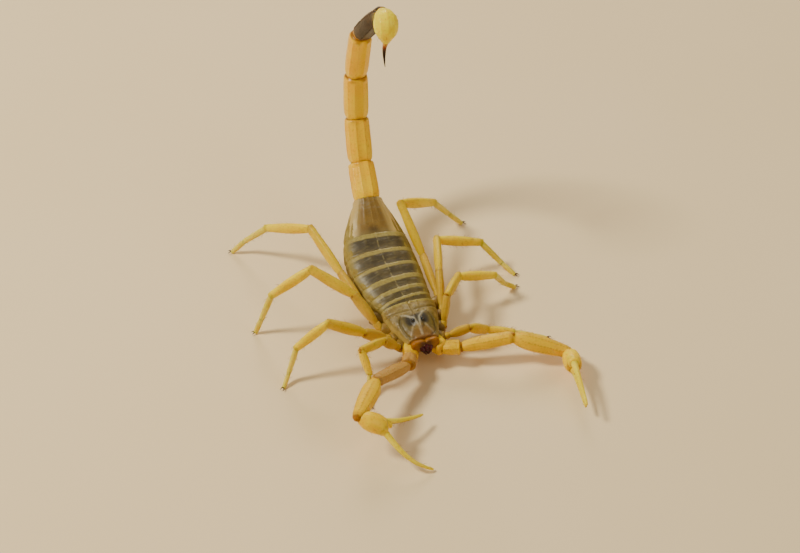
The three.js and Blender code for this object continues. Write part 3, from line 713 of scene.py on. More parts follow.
paints = {
    "carapace": carapace_paint(),
    "plate": back_plate_paint("back_plates", "564a30", "3c3526", "aa9850", "94823e", 0.76),
    "small_plate": back_plate_paint("small_back_plates", "62542f", "443c28", "a8964c", "94823e", 0.64),
    "last_plate": back_plate_paint(
        "last_back_plate", "86682e", "725626", "8c7636", "c4a868", 0.95, "b89c60",
        front_band=0.3, side_at=0.55,
    ),
    "flank": soft_paint("flank_skin", "94823e", "826e32", 0.9, 0.46, (1, 5, 1), SHELL | MATT),
    "belly": soft_paint("belly_plates", "c4ac50", "a89044", 0.5, 0.36),
    "hip": soft_paint("hip_plates", "947836", "745a26", 0.6, 0.36),
    "joint": soft_paint("joint_skin", "ac7412", "8a540e", 1.5, 0.5),
    "jaw": limb_paint("jaw_shell", "8c540e", "a06a14", "2e0e18", "5a2e0c", 0.4),
    "fang": limb_paint("jaw_tips", "340c14", "4c1620", "12060a", "240810", 0.4, shine=0.14),
    "arm": limb_paint("arm_shell", "e0b000", "f0c400", "905c08", "a8680c", 0.45, top="e8bc10"),
    # painted shade: a browner copy of the arm shell for the right arm's trochanter and femur, which stand in
    # shade
    "shaded_arm_root": limb_paint("shaded_arm_root_shell", "b08038", "c0944c", "6c4410", "7c5018", 0.5, top="bc9048"),
    "hand": limb_paint("hand_shell", "ffcc00", "ffd800", "a87008", "b47408", 0.6, shine=0.28),
    "finger": limb_paint("finger_shell", "ecd418", "f2de40", "84540c", "dcac10", 0.5, reach=0.03),
    "thigh": limb_paint("thigh_shell", "bc9420", "d0ac38", "6c5010", "8c6018", 0.3, top="c8a430"),
    "knee": limb_paint("knee_shell", "d8b008", "e8c828", "74580e", "946414", 0.3, top="d8b81c"),
    "shin": limb_paint("shin_shell", "f0cc04", "fadc28", "8a7010", "a88414", 0.3),
    "toe": limb_paint("toe_shell", "dcc838", "ead860", "847018", "a8942c", 0.3),
    "tail": limb_paint(
        "tail_shell", "ffc000", "ffd200", "84480a", "74380a", 0.85, shine=0.26, reach=0.035, coat=0.25
    ),
    "bulb": limb_paint("bulb_shell", "fce000", "ffe81c", "c09020", "c08c18", 0.3, shine=0.28, coat=0.2),
    "comb": soft_paint("comb_shell", "d8ba58", "bc9c44", 0.9, 0.4),
}


def eye_paint():
    paint = Paint("eye_lens", {"Coat Weight": 1.0, "Coat Roughness": 0.04})
    cloud = paint.noise(2.0)
    paint.blend(cloud.between(0.4, 0.7), "070606", "1c1210")
    return paint.done(0.08 + 0.08 * cloud, cloud, 0.02, 0.005)


def sting_paint():
    paint = Paint("sting_horn", SHELL | MATT)
    fine = paint.noise(2.0, 4.0)
    paint.blend(paint.along.between(0.0, 0.22), "d79a3c", "8a3c1a")
    paint.over((paint.along + 0.1 * fine).between(0.2, 0.5), "22100c")
    return paint.done(0.18 + 0.12 * fine, fine, 0.1, 0.01)


def dark_tail_paint():
    """The last tail ring: dark brown, amber at its root and olive on its back by the sting's bulb."""
    paint = Paint("dark_tail_shell", SHELL | WHITE_GLOSS)
    fine, cloud = paint.noise(2.5, 5.0), paint.noise(0.4)
    paint.blend(cloud.between(0.36, 0.64), "2e2019", "4a3322")
    paint.over(fine.between(0.5, 0.8) * 0.4, "180c08")
    paint.over(paint.warm * 0.9, "d8960c")
    paint.over(paint.pale * 0.85, "8c7c34")
    return paint.done(0.3 + 0.2 * fine, fine, 0.3, 0.015)


def bristle_paint():
    paint = Paint("bristle_horn", SHELL | MATT)
    cloud = paint.noise(0.5)
    paint.blend(cloud.between(0.35, 0.65), "b08030", "d8b060")
    return paint.done(0.35 + 0.1 * cloud, cloud, 0.1, 0.01)


paints |= {"eye": eye_paint(), "sting": sting_paint()}
paints |= {"dark_tail": dark_tail_paint(), "bristle": bristle_paint()}


# ---- Front body ----

LYRE = [(0.02, 0.5), (0.06, 1.4), (0.14, 2.3), (0.34, 3.0), (0.5, 3.7), (0.95, 4.3), (1.5, 4.8), (2.1, 5.15)]
CORNER_LINE = [(1.0, 2.4), (1.45, 1.5), (1.95, 0.6)]
BACK_LINE = [(0.85, 5.2), (1.15, 6.1), (1.3, 7.4)]
CHEEK_LINE = [(2.0, 5.3), (2.6, 4.4), (2.85, 3.3), (2.75, 2.2), (2.5, 1.2), (2.1, 0.6), (1.5, 0.3)]
MARGIN = 0.06  # the plate starts this far above its own axis


def make_carapace():
    wide, high = through(BACK["half_width"]), through(BACK["dome"])
    length = BACK["length"]
    plate = tube(
        "back_shield", length, wide, high, ends=(0.0, 1.015), steps=26, around=48, blunt=0.25, square=0.8
    )
    mound_wide, mound_long, mound_high = EYE["mound"]

    def height(spot, place):
        x, y = np.abs(place[:, 0]), place[:, 1]
        top = ramp(spot[:, 2], 0.15, 0.4)
        inside = np.clip(1 - (x / mound_wide) ** 2 - ((y - EYE["from_front"]) / mound_long) ** 2, 0, 1)
        mound = np.clip(mound_high * (np.sqrt(inside) - 0.35), 0, 1) * 0.9
        lyre, back_line = off_line(x, y, LYRE), off_line(x, y, BACK_LINE)
        lines = 0.2 * ridge(lyre, 0.13) * beads(y, 0.3) + 0.12 * ridge(back_line, 0.14) * beads(y, 0.3)
        lines += 0.09 * ridge(off_line(x, y, CORNER_LINE), 0.14) * beads(y, 0.34)
        cheek = -0.16 * ridge(off_line(x, y, CHEEK_LINE), 0.16)
        furrow = -0.16 * ridge(x, 0.12) * ramp(y, 2.1, 3.1)
        cross = -0.16 * ridge(y - 5.7 - 0.12 * x, 0.22) * ramp(x, 0.2, 1.0)
        rims = 0.1 * ridge(y - 0.25, 0.16) * beads(place[:, 0], 0.32)
        rims += 0.12 * ridge(y - length * 0.975, 0.16) * beads(place[:, 0], 0.34)
        dust = 0.05 * grains(place, 0.36, 0.15, 0.55) + 0.075 * grains(place + 3.3, 0.75, 0.2, 0.4)
        rough = 1 - 0.8 * ridge(y - 0.8, 0.9) * (x < 1.2)
        return top * (mound + lines + cheek + furrow + cross + rims + dust * rough)

    def tint(spot, place):
        x, y = np.abs(place[:, 0]), place[:, 1]
        # pale: a painted highlight along the lyre ridges, strongest near the eyes, and fainter on the corner
        # ridges
        near_eyes = 0.45 + 0.55 * ridge(y - 3.5, 1.6)
        pale = ridge(off_line(x, y, LYRE), 0.17) * near_eyes + 0.3 * ridge(off_line(x, y, CORNER_LINE), 0.2)
        ring = np.hypot((x - EYE["spread"] - 0.35) / 0.9, (y - EYE["from_front"] - 0.2) / 1.05)
        dark = 0.45 * ridge(off_line(x, y, CHEEK_LINE), 0.16) + 0.4 * ridge(y - 5.7 - 0.12 * x, 0.14)
        dark = np.maximum(dark, 1 - ramp(ring, 0.6, 1.25))
        return np.clip(pale, 0, 1), np.clip(dark, 0, 1), 0

    relief(plate, height, tint)
    keep_above(plate, MARGIN, PLATE["shield"])
    put(plate, shield_place)
    finished(plate, "carapace", "carapace")


def make_eyes():
    for side, sign in SIDES.items():
        centre = (sign * EYE["spread"] * MM, EYE["from_front"] * MM, eye_height * MM)
        bpy.ops.object.select_all(action="DESELECT")
        radius = EYE["radius"] * MM
        bpy.ops.mesh.primitive_uv_sphere_add(segments=24, ring_count=16, radius=radius, location=centre)
        lens = bpy.context.object
        lens.name = lens.data.name = f"lens_{side}"
        bpy.ops.object.transform_apply(location=True, rotation=True, scale=True)
        bpy.ops.object.mode_set(mode="EDIT")
        bpy.ops.mesh.select_all(action="SELECT")
        bpy.ops.transform.resize(value=(0.92, 1.06, 0.94), center_override=centre)
        bpy.ops.object.mode_set(mode="OBJECT")
        put(lens, shield_place)
        finished(lens, f"eye_{side}", "eye")
    dots = []
    for sign in SIDES.values():
        for step in range(3):
            dot = tube(
                "dot", 0.3, [0.13, 0.13], [0.13, 0.13], steps=1, around=8, blunt=0.12, levels=1, square=1
            )
            spot = Vector((sign * (2.2 + 0.14 * step), 0.42 + 0.34 * step, 1.12 - 0.1 * step)) * MM
            put(dot, shield_place @ Matrix.Translation(spot))
            dots.append(painted(dot, "eye"))
    finished(join("side_eyes", dots), "eye_left", nodes=())


def make_jaws():
    """Two boxy jaws under the shield's front edge, each with two dark toothed prongs."""
    below = BACK["dome"][-1] - JAW["lift"]
    reach = JAW["reach"]
    for side, sign in SIDES.items():
        start = from_front(sign * JAW["spread"], 0, below)
        end = from_front(sign * JAW["spread"], -reach, below - reach * 0.25)
        place = place_of(start, end)
        wide = [JAW["half_width"] * v for v in (1.15, 1.2, 1.18, 1.05, 0.8)]
        high = [JAW["half_height"] * v for v in (0.95, 1.05, 1.05, 1.0, 0.8)]
        body = tube("jaw_body", reach, wide, high, ends=(-0.2, 0.5), steps=9, around=24, square=0.66)

        def height(spot, place):
            crest = 0.07 * ridge(spot[:, 1] - 0.6, 0.05) * ramp(spot[:, 2], 0, 0.5)
            return crest * beads(place[:, 0], 0.25) + 0.03 * grains(place, 0.3, 0.12, 0.5)

        def tint(spot, place):
            return 0, ramp(spot[:, 1], 0.3, 0.5) * ramp(sign * spot[:, 0], -0.4, 0.5), 0

        relief(body, height, tint)
        parts = [painted(body, "jaw")]
        for out, drop, length in ((0.25, 0.2, 1.5), (-0.45, -0.05, 1.4), (-0.1, 0.6, 1.25)):
            thick = [0.44, 0.44, 0.36, 0.14]
            prong = tube("jaw_prong", length, thick, [t * 1.05 for t in thick], steps=8, around=12, blunt=0.1)

            def height(spot, place, out=out):
                return 0.08 * beads(place[:, 1], 0.4) * ramp(np.sign(out) * sign * spot[:, 0], 0.4, 0.9)

            def path(t, out=out, drop=drop, length=length):
                inward = 0.6 + 0.3 * t * t - out
                return np.array((sign * inward, 0.24 * reach + length * t * 0.75, -drop - 0.75 * t * t)) * MM

            relief(prong, height)
            parts.append(painted(lay(prong, length, path, UP), "fang"))
        jaw = join(f"jaw_{side}", parts)
        finished(put(jaw, place), f"chelicera_{side}")


def hip_ridges(spot, place):
    return 0.05 * ridge(np.abs(spot[:, 0]) - 0.8, 0.2) + 0.03 * grains(place, 0.4, 0.15, 0.4)


def make_underside():
    length = BACK["length"]
    wide, depth = through(BACK["half_width"]), through(BACK["depth"])
    chest = tube(
        "chest_skin", length, lambda f: wide(f) * 0.95, lambda f: 0.5, lambda f: depth(f) * 0.82,
        ends=(0.03, 1.08), steps=14, around=32, blunt=0.5, square=0.85,
    )
    relief(chest, lambda s, p: -0.06 * ridge(np.sin(p[:, 1] * 5 + p[:, 0]), 0.3))
    finished(put(chest, shield_place), "prosoma_underside", "flank")
    plates = []
    centre_y = front_edge.y / MM + length * 0.55
    for side, sign in SIDES.items():
        for pair in range(4):
            hip = leg_joints(side, pair)[0]
            scale = LEG["scale"][pair] * 1.1
            start = Vector((sign * 1.2, (hip.y / MM) * 0.45 + centre_y * 0.55, hip.z / MM - 0.7)) * MM
            size = (hip - start).length / MM
            thick = [v * scale for v in (1.0, 1.15, 1.1, 0.85)]
            deep = [v * scale for v in (1.1, 1.2, 1.15, 0.95)]
            block = tube("hip_block", size, thick, deep, ends=(-0.05, 1.04), steps=5, around=14, square=0.8)
            relief(block, hip_ridges)
            plates.append(painted(put(block, place_of(start, hip)), "hip"))
        across, behind, below = ARM["root"]
        root = from_front(sign * across, behind, below)
        start = from_front(sign * 1.35, 2.5, 3.3)
        size = (root - start).length / MM
        block = tube(
            "arm_hip", size, [1.0, 1.3, 1.35, 1.25], [1.1, 1.35, 1.35, 1.2],
            ends=(-0.05, 1.16), steps=6, around=16, blunt=0.4, square=0.8,
        )
        relief(block, hip_ridges)
        plates.append(painted(put(block, place_of(start, root)), "arm"))
    breast = tube(
        "breast_plate", 1.9, [0.35, 0.75, 0.85], [0.35, 0.4, 0.4], steps=5, around=14, blunt=0.2, square=0.7
    )
    relief(breast, lambda s, p: -0.1 * ridge(s[:, 0], 0.25) * ramp(-s[:, 2], 0, 0.5))
    put(breast, place_of(from_front(0, 4.2, 4.45), from_front(0, 6.3, 4.6)))
    plates.append(painted(breast, "hip"))
    for sign in SIDES.values():
        lid = tube("birth_lid", 1.0, [0.3, 0.55, 0.5], [0.22, 0.3, 0.25], steps=4, around=12, blunt=0.2)
        put(lid, place_of(from_front(sign * 0.5, 6.4, 4.65), from_front(sign * 0.55, 7.4, 4.7)))
        plates.append(painted(lid, "hip"))
    finished(join("hip_plates", plates), "prosoma_underside", nodes=())


# ---- Trunk ----

trunk_total = sum(TRUNK["lengths"])
trunk_wide, trunk_top, trunk_bottom = (through(TRUNK[key]) for key in ("half_width", "top", "bottom"))


def trunk_path(t):
    """The trunk's middle line from the hind edge of the shield to the tail."""
    marks = np.cumsum([0] + TRUNK["lengths"]) / trunk_total
    points = np.array(trunk)
    values = [
        np.array([np.interp(t + step, marks, points[:, k]) for k in range(3)]) for step in (-0.04, 0, 0.04)
    ]
    over, under = (past * trunk_total * MM for past in (max(t - 1, 0), min(t, 0)))
    return sum(values) / 3 + over * np.array(trunk_ways[-1]) + under * np.array(trunk_ways[0])


def make_trunk():
    skin = tube(
        "flank_skin", trunk_total, trunk_wide, lambda f: trunk_top(f) * 0.9,
        lambda f: trunk_bottom(f) * 0.93, ends=(-0.03, 0.99), steps=44, around=40, blunt=0.8, square=0.85,
    )

    def folds(spot, place):
        y = place[:, 1]
        ends = np.cumsum(TRUNK["lengths"])
        seams = sum(ridge(y - end, 0.28) for end in ends[:-1])
        side = ramp(np.abs(spot[:, 0]), 0.5, 0.9)
        pleats = 0.05 * np.sin(place[:, 2] * 9 + 0.6 * np.sin(y * 1.7)) + 0.03 * np.sin(place[:, 2] * 23 + y)
        return side * (pleats - 0.16 * seams) - 0.1 * seams * (1 - side)

    relief(skin, folds)
    lay(skin, trunk_total, trunk_path, UP)
    finished(skin, "mesosoma_1", "flank", [f"mesosoma_{i + 1}" for i in range(7)])

    before = 0
    for i, length in enumerate(TRUNK["lengths"]):
        last = i == len(TRUNK["lengths"]) - 1
        place = place_of(trunk[i], trunk[i + 1])

        def share(f, start=before, span=length):
            return (start + f * span) / trunk_total

        def swell(f):
            return 0.965 + 0.05 * min(max(f, 0), 1)

        plate = tube(
            f"back_plate_{i + 1}", length,
            lambda f: trunk_wide(share(f)) * swell(f), lambda f: trunk_top(share(f)) * swell(f),
            ends=(-0.3 / length, 1 + 0.22 / length), steps=max(5, int(length * 3.2)), around=64, blunt=0,
            levels=1, square=0.85,
        )
        wide_here = trunk_wide(share(0.5))

        def height(spot, place):
            x, f, y = spot[:, 0], spot[:, 1], place[:, 1]
            behind = ramp(f, 0.25, 0.7)
            lip = 0.07 * ridge(y - length, 0.22) - 0.1 * ramp(0.28 - y, 0, 0.3)
            hollow = -0.08 * ridge(f - 0.3, 0.2)
            middle_keel = 0.1 * ridge(x * wide_here, 0.16) * beads(y, 0.3) * behind
            outer = (0.3, 0.58) if i < 2 else (0.36,)
            if last:
                outer = (0.26 + 0.06 * f, 0.6 + 0.04 * f)
            keels = sum(0.1 * ridge((np.abs(x) - o) * wide_here, 0.17) * beads(y, 0.3) for o in outer)
            dust = 0.05 * grains(place, 0.34, 0.13, 0.35 + 0.3 * behind)
            dust += 0.05 * grains(place + 5, 0.7, 0.18, 0.3)
            return lip + hollow + middle_keel + keels * ramp(f, 0.2, 0.5) + dust

        def tint(spot, place):
            x, f = spot[:, 0], spot[:, 1]
            if not last:
                side_keel = ridge((np.abs(x) - 0.36) * wide_here, 0.2) * ramp(f, 0.4, 0.7)
                return 0.25 * side_keel, 0.9 * ramp(-f, -0.02, 0.06), 0
            pale = ridge((np.abs(x) - 0.26 - 0.06 * f) * wide_here, 0.2)
            pale += ridge((np.abs(x) - 0.6 - 0.04 * f) * wide_here, 0.22)
            patch = ridge(x, 0.2) * ridge(f - 0.2, 0.1)
            return 0.3 * pale * ramp(f, 0.1, 0.4), np.clip(0.9 * patch + 0.6 * ridge(f, 0.08), 0, 1), 0

        relief(plate, height, tint)
        keep_above(plate, trunk_top(share(0.5)) * PLATE["last_covers" if last else "covers"], PLATE["ring"])
        put(plate, place)
        paint = "last_plate" if last else "small_plate" if i < 3 else "plate"
        finished(plate, f"mesosoma_{i + 1}", paint)

        if i >= 2:
            plate = tube(
                f"belly_plate_{i + 1}", length,
                lambda f: trunk_wide(share(f)) * swell(f) * 0.97, lambda f: trunk_bottom(share(f)) * swell(f),
                ends=(-0.1, 1.02), steps=max(5, int(length * 2)), around=40, blunt=0, levels=1, square=0.85,
            )

            def dents(spot, place):
                x, f = spot[:, 0], spot[:, 1]
                lip = 0.06 * ridge(f - 0.97, 0.06)
                if last:
                    return lip + sum(0.07 * ridge((np.abs(x) - o) * wide_here, 0.18) for o in (0.2, 0.55))
                return lip - 0.16 * ridge(np.hypot((np.abs(x) - 0.5) * 6, (f - 0.55) * 9), 0.5)

            relief(plate, dents)
            covers = PLATE["last_covers" if last else "belly_covers"]
            keep_above(plate, trunk_bottom(share(0.5)) * covers, PLATE["ring"])
            put(plate, place @ Matrix.Rotation(math.pi, 4, "Y"))
            finished(plate, f"mesosoma_{i + 1}", "belly", ())
        before += length


def make_combs():
    small = {"around": 6, "levels": 1}
    first_tooth = tube("comb_tooth", 0.62, [0.13, 0.17, 0.12], [0.14, 0.2, 0.15], steps=2, blunt=0.1, **small)
    thick = [0.17, 0.19, 0.17], [0.18, 0.22, 0.18]
    first_plate = tube("comb_plate", 0.42, *thick, steps=1, blunt=0.08, **small)
    below = TRUNK["bottom"][1] + COMB["drop"] + COMB["thickness"] / 2
    for side, sign in SIDES.items():
        sweep = math.radians(COMB["sweep"])
        across, behind = COMB["root"]
        root = trunk[1] + Vector((sign * across, behind, -below)) * MM
        way = Vector((sign * math.cos(sweep), math.sin(sweep), 0))
        place = place_of(root, root + way)
        length = COMB["length"]
        thick = [0.26, 0.3, 0.26, 0.16], [0.22, 0.25, 0.22, 0.16]
        spine = tube("comb_spine", length, *thick, steps=12, around=10, blunt=0.2, levels=1)
        relief(spine, lambda s, p: -0.05 * ridge(np.sin(p[:, 1] * 1.35), 0.15))
        spine.location.x = sign * 0.55 * MM
        bpy.ops.object.transform_apply(location=True)
        parts = [spine]
        for step in range(COMB["teeth"]):
            y = (step + 0.5) * (length / COMB["teeth"]) * MM
            turn = Matrix.Rotation(sign * math.pi / 2, 4, "Z")
            size = Matrix.Diagonal((1, 1 - 0.3 * step / COMB["teeth"], 1, 1))
            for first, x in ((first_plate, 0.33), (first_tooth, -0.02)):
                at = Matrix.Translation((sign * x * MM, y, 0))
                parts.append(copied(first, f"{first.name}_copy", at @ turn @ size))
        comb = join(f"comb_{side}", parts)
        finished(put(comb, place), f"pecten_{side}", "comb")
    for piece in (first_tooth, first_plate):
        bpy.data.objects.remove(piece)


# ---- Tail ----


def make_tail():
    for i, length in enumerate(TAIL["lengths"]):
        dark = i == len(TAIL["lengths"]) - 1
        taper = 0.82 if dark else 0.99
        across = [s * TAIL["half_width"][i] for s in (0.92, 1, 1.01, 1, taper, taper * 0.95)]
        ring = tube(
            f"tail_ring_{i + 1}", length, across, [a * 0.9 for a in across],
            ends=(-0.01, 1.015), steps=int(length * 3.4), around=44, blunt=0.35, square=0.88,
        )
        keels = (20, 54, 90, 126, 162) if i < 2 else (20, 54, 126, 162)
        if dark:
            keels = (30, 120, 178)
        half = TAIL["half_width"][i]

        def height(spot, place):
            angle, f, y = keel_angles(spot), spot[:, 1], place[:, 1]
            fade = along_middle(f, 0.04, 0.14, 0.93, 0.99)
            crests = keels_at(angle, keels, 0.17, half) * (0.143 if dark else 0.11) * beads(y, 0.34)
            flare = 0.14 * ridge(f - 0.93, 0.05) * keels_at(angle, (30,), 0.9, half)
            furrow = -0.1 * keels_at(angle, (0,), 0.5, half) * fade
            dust = 0.035 * grains(place, 0.36, 0.13, 0.7 if dark else 0.3) * fade
            if dark:
                dust = dust + 0.08 * grains(place + 2, 0.6, 0.2, 0.5) * ramp(angle, 95, 125)
            neck = -0.1 * ridge(f - 0.035, 0.03) - 0.08 * ridge(f - 0.985, 0.02)
            return crests * fade + flare + furrow + dust + neck

        def tint(spot, place):
            angle, f = keel_angles(spot), spot[:, 1]
            if dark:
                return ramp(f, 0.8, 0.93) * (1 - ramp(angle, 70, 110)), 0, 1 - ramp(f, 0.05, 0.1)
            crest = keels_at(angle, keels, 0.2, half) * ramp(f, 0.1, 0.3)
            spots = ridge(f - 0.95, 0.035) * keels_at(angle, (30,), 0.5, half)
            foot = ridge(f - 0.05, 0.045) * keels_at(angle, (0,), 0.7, half)
            middle = keels_at(angle, (0,), 1.2, half) * along_middle(f, 0.1, 0.25, 0.85, 0.95)
            flanks = 0.22 * ramp(angle, 35, 100)
            return 0.8 * middle, np.clip(0.8 * spots + foot + 0.1 * crest, 0, 1), flanks

        relief(ring, height, tint)
        put(ring, place_of(tail[i], tail[i + 1], leaning(TAIL["lean"][i] - 90)))
        finished(ring, f"metasoma_{i + 1}", "dark_tail" if dark else "tail")


def make_sting():
    inward = leaning(STING["lean"] - 90)
    neck = leaning(STING["neck_lean"], STING["sideways"])
    root = tail[-1]
    bend_at = root + neck * STING["neck_reach"] * MM
    place = place_of(root, sting_root, inward)
    outward = -np.array(place.col[2][:3])
    first, second, third = (np.array(p) for p in (root, bend_at, sting_root))

    def bulb_path(t):
        line = first * (1 - t) ** 2 + second * 2 * t * (1 - t) + third * t * t
        return line + outward * STING["belly"] * MM * math.sin(math.pi * min(max(t, 0), 1))

    length = STING["bulb"]
    bulb = tube(
        "venom_bulb", length, STING["half_width"], STING["half_depth"],
        ends=(-0.01, 1.01), steps=24, around=36, blunt=0.3, square=1.0,
    )

    def height(spot, place):
        angle, f = keel_angles(spot), spot[:, 1]
        rows = keels_at(angle, (178, 145, 112), 0.16, 1.8) * beads(place[:, 1], 0.55)
        groove = -0.1 * keels_at(angle, (95,), 0.2, 1.8)
        dust = 0.02 * grains(place, 0.5, 0.16, 0.4)
        return (0.07 * rows + groove + dust) * along_middle(f, 0.08, 0.25, 0.7, 0.95)

    relief(bulb, height, lambda s, p: (0, 0.9 * ramp(-s[:, 1], -0.06, 0.0), 0))
    lay(bulb, length, bulb_path, inward)
    finished(bulb, "telson_bulb", "bulb")
    haired.append((bulb, "telson_bulb", 18))

    way = leaning(STING["end_lean"], STING["sideways"])
    tip = np.array(sting_root + way * STING["reach"] * MM)
    root_way = leaning(STING["root_lean"], STING["sideways"])
    control = np.array(sting_root + root_way * STING["reach"] * 0.5 * MM)

    def sting_path(t):
        s = min(max(t, 0), 1)
        line = third * (1 - s) ** 2 + control * 2 * s * (1 - s) + tip * s * s
        over = (t - s) * STING["reach"] * MM
        return line + over * np.array(way if t > 1 else third - second) / (1 if t > 1 else MM * 3)

    thick = [0.46, 0.37, 0.31, 0.24, 0.15, 0.05]
    horn = tube(
        "sting_horn", STING["horn"], thick, thick,
        ends=(-0.05, 1.0), steps=14, around=14, blunt=0.06, square=1.0,
    )
    lay(horn, STING["horn"], sting_path, inward)
    finished(horn, "telson_sting", "sting")


# ---- Arms ----

ARM_KEELS = {
    "trochanter": (0, 60, -60),
    "femur": (-40, 40, 100, -100, 150),
    "patella": (-50, 0, 50, 100, -100, 160),
}


def arm_piece(name, key, start, end, keels, paint):
    length, across, deep = ARM[key]
    piece = tube(
        name, length, across, deep, ends=(-0.035, 1.035), steps=12, around=24, blunt=0.25, square=0.82
    )

    def height(spot, place):
        angle, f = angle_round(spot), spot[:, 1]
        fade, crests = along_middle(f, 0.08, 0.2, 0.88, 0.97), keels_at(angle, keels, 0.12)
        collar = 0.08 * ridge(f - 0.93, 0.04) - 0.1 * ridge(f - 0.05, 0.03)
        return 0.1 * crests * beads(place[:, 1], 0.34) * fade + collar + 0.02 * grains(place, 0.4, 0.14, 0.3)

    def tint(spot, place):
        crests = keels_at(angle_round(spot), keels, 0.09)
        speckle = crests * (beads(place[:, 1], 0.34) > 0.75) * ramp(spot[:, 1], 0.08, 0.2)
        return 0, np.clip(0.55 * speckle, 0, 1), 0

    relief(piece, height, tint)
    put(piece, place_of(start, end))
    return painted(piece, paint)


def finger_piece(name, key, side, root):
    """A finger in the hand's own frame, with a toothed inner edge."""
    length, thick, tip = FINGER[key]
    swing, bow = ARM_POSE[side][key]
    inner = 1 if key == "fixed" else -1
    angle = math.radians(swing)

    def half(f):
        return thick + (tip - thick) * min(max(f, 0), 1) ** FINGER_TAPER if f < 0.96 else tip * 0.8

    piece = tube(
        name, length, lambda f: half(f) * 0.9, half,
        ends=(-0.04, 1.0), steps=26, around=20, blunt=0.3, square=0.95,
    )

    def edge(spot):
        return ridge(np.degrees(np.arctan2(spot[:, 2], inner * spot[:, 0])), 16)

    def height(spot, place):
        rows = beads(place[:, 1], 0.17) * (0.75 + 0.5 * (np.mod(place[:, 1], 0.8) < 0.16))
        grooves = -0.03 * ridge(np.abs(spot[:, 2]) - 0.5, 0.12) * ramp(spot[:, 1], 0.1, 0.3)
        return 0.09 * edge(spot) * rows * ramp(spot[:, 1], 0.06, 0.14) + grooves

    def tint(spot, place):
        return 0, np.clip(edge(spot) * 0.9 * ramp(spot[:, 1], 0.04, 0.12), 0, 1), 0

    relief(piece, height, tint)

    def path(t):
        s = min(max(t, 0), 1)
        across = root[0] + math.sin(angle) * t * length + bow * math.sin(math.pi * s)
        return np.array((across, root[1] + math.cos(angle) * t * length, root[2])) * MM

    lay(piece, length, path, UP)
    return painted(piece, "finger")


def make_arm(side):
    points = arm_joints(side)
    for i, (key, keels) in enumerate(ARM_KEELS.items()):
        # the right arm's first two pieces get the painted-shade copy of the arm shell
        paint = "shaded_arm_root" if side == "right" and i < 2 else "arm"
        piece = arm_piece(f"arm_{side}_{key}", key, points[i], points[i + 1], keels, paint)
        finished(piece, f"pedipalp_{side}_{key}")
        haired.append((piece, f"pedipalp_{side}_{key}", 45))
    roll = math.radians(-ARM_POSE[side]["roll"])
    place = place_of(points[3], points[4]) @ Matrix.Rotation(roll, 4, "Y")
    length, across, deep = ARM["hand"]
    palm = tube("palm", length, across, deep, ends=(-0.02, 1.04), steps=12, around=28, blunt=0.6, square=0.92)

    def height(spot, place):
        crests = keels_at(angle_round(spot), (-150, -100, -50, 0, 50), 0.16)
        fade = along_middle(spot[:, 1], 0.15, 0.35, 0.8, 0.95)
        return 0.05 * crests * fade - 0.1 * ridge(spot[:, 1] - 0.04, 0.04)

    relief(palm, height, lambda s, p: (0, 0.5 * ridge(s[:, 1], 0.05), 0))
    hinge = ARM["hinge"]
    fixed = finger_piece("fixed_finger", "fixed", side, (-hinge, length - 0.6, 0))
    parts = [painted(palm, "hand"), fixed]
    bases = ((1, -1.0, 1.5, [0.8, 0.95, 0.85]), (-1, -1.5, 2.9, [0.95, 0.85, 0.6, 0.42]))
    for beside, behind, size, wide in bases:
        base = tube("finger_base", size, wide, [w * 1.05 for w in wide], around=16)
        base.location = Vector((beside * hinge * 0.8, length + behind, 0)) * MM
        bpy.ops.object.transform_apply(location=True)
        parts.append(painted(base, "hand"))
    hand = join(f"hand_{side}", parts)
    finished(put(hand, place), f"pedipalp_{side}_hand")
    moving = finger_piece(f"finger_{side}", "moving", side, (hinge, length, 0))
    finished(put(moving, place), f"pedipalp_{side}_finger")
    haired.append((hand, f"pedipalp_{side}_hand", 60))
    haired.append((moving, f"pedipalp_{side}_finger", 30))
    return points


# ---- Legs ----

SPIKE = {"around": 8, "blunt": 0.05, "levels": 1, "square": 1}


def leg_piece(name, start, end, sizes, scale, paint, keel=0.05, ends=(-0.05, 1.05)):
    length = (end - start).length / MM
    across, deep = ([v * scale for v in values] for values in sizes)
    piece = tube(name, length, across, deep, ends=ends, steps=8, around=16, blunt=0.1, square=0.88)

    def height(spot, place):
        f, crests = spot[:, 1], keels_at(keel_angles(spot), (20, 150), 0.22)
        fade = along_middle(f, 0.08, 0.2, 0.85, 0.97)
        collar = 0.05 * ridge(f - 0.94, 0.04) - 0.06 * ridge(f - 0.04, 0.03)
        return keel * crests * beads(place[:, 1], 0.3) * fade + collar

    relief(piece, height)
    put(piece, place_of(start, end))
    return painted(piece, paint)


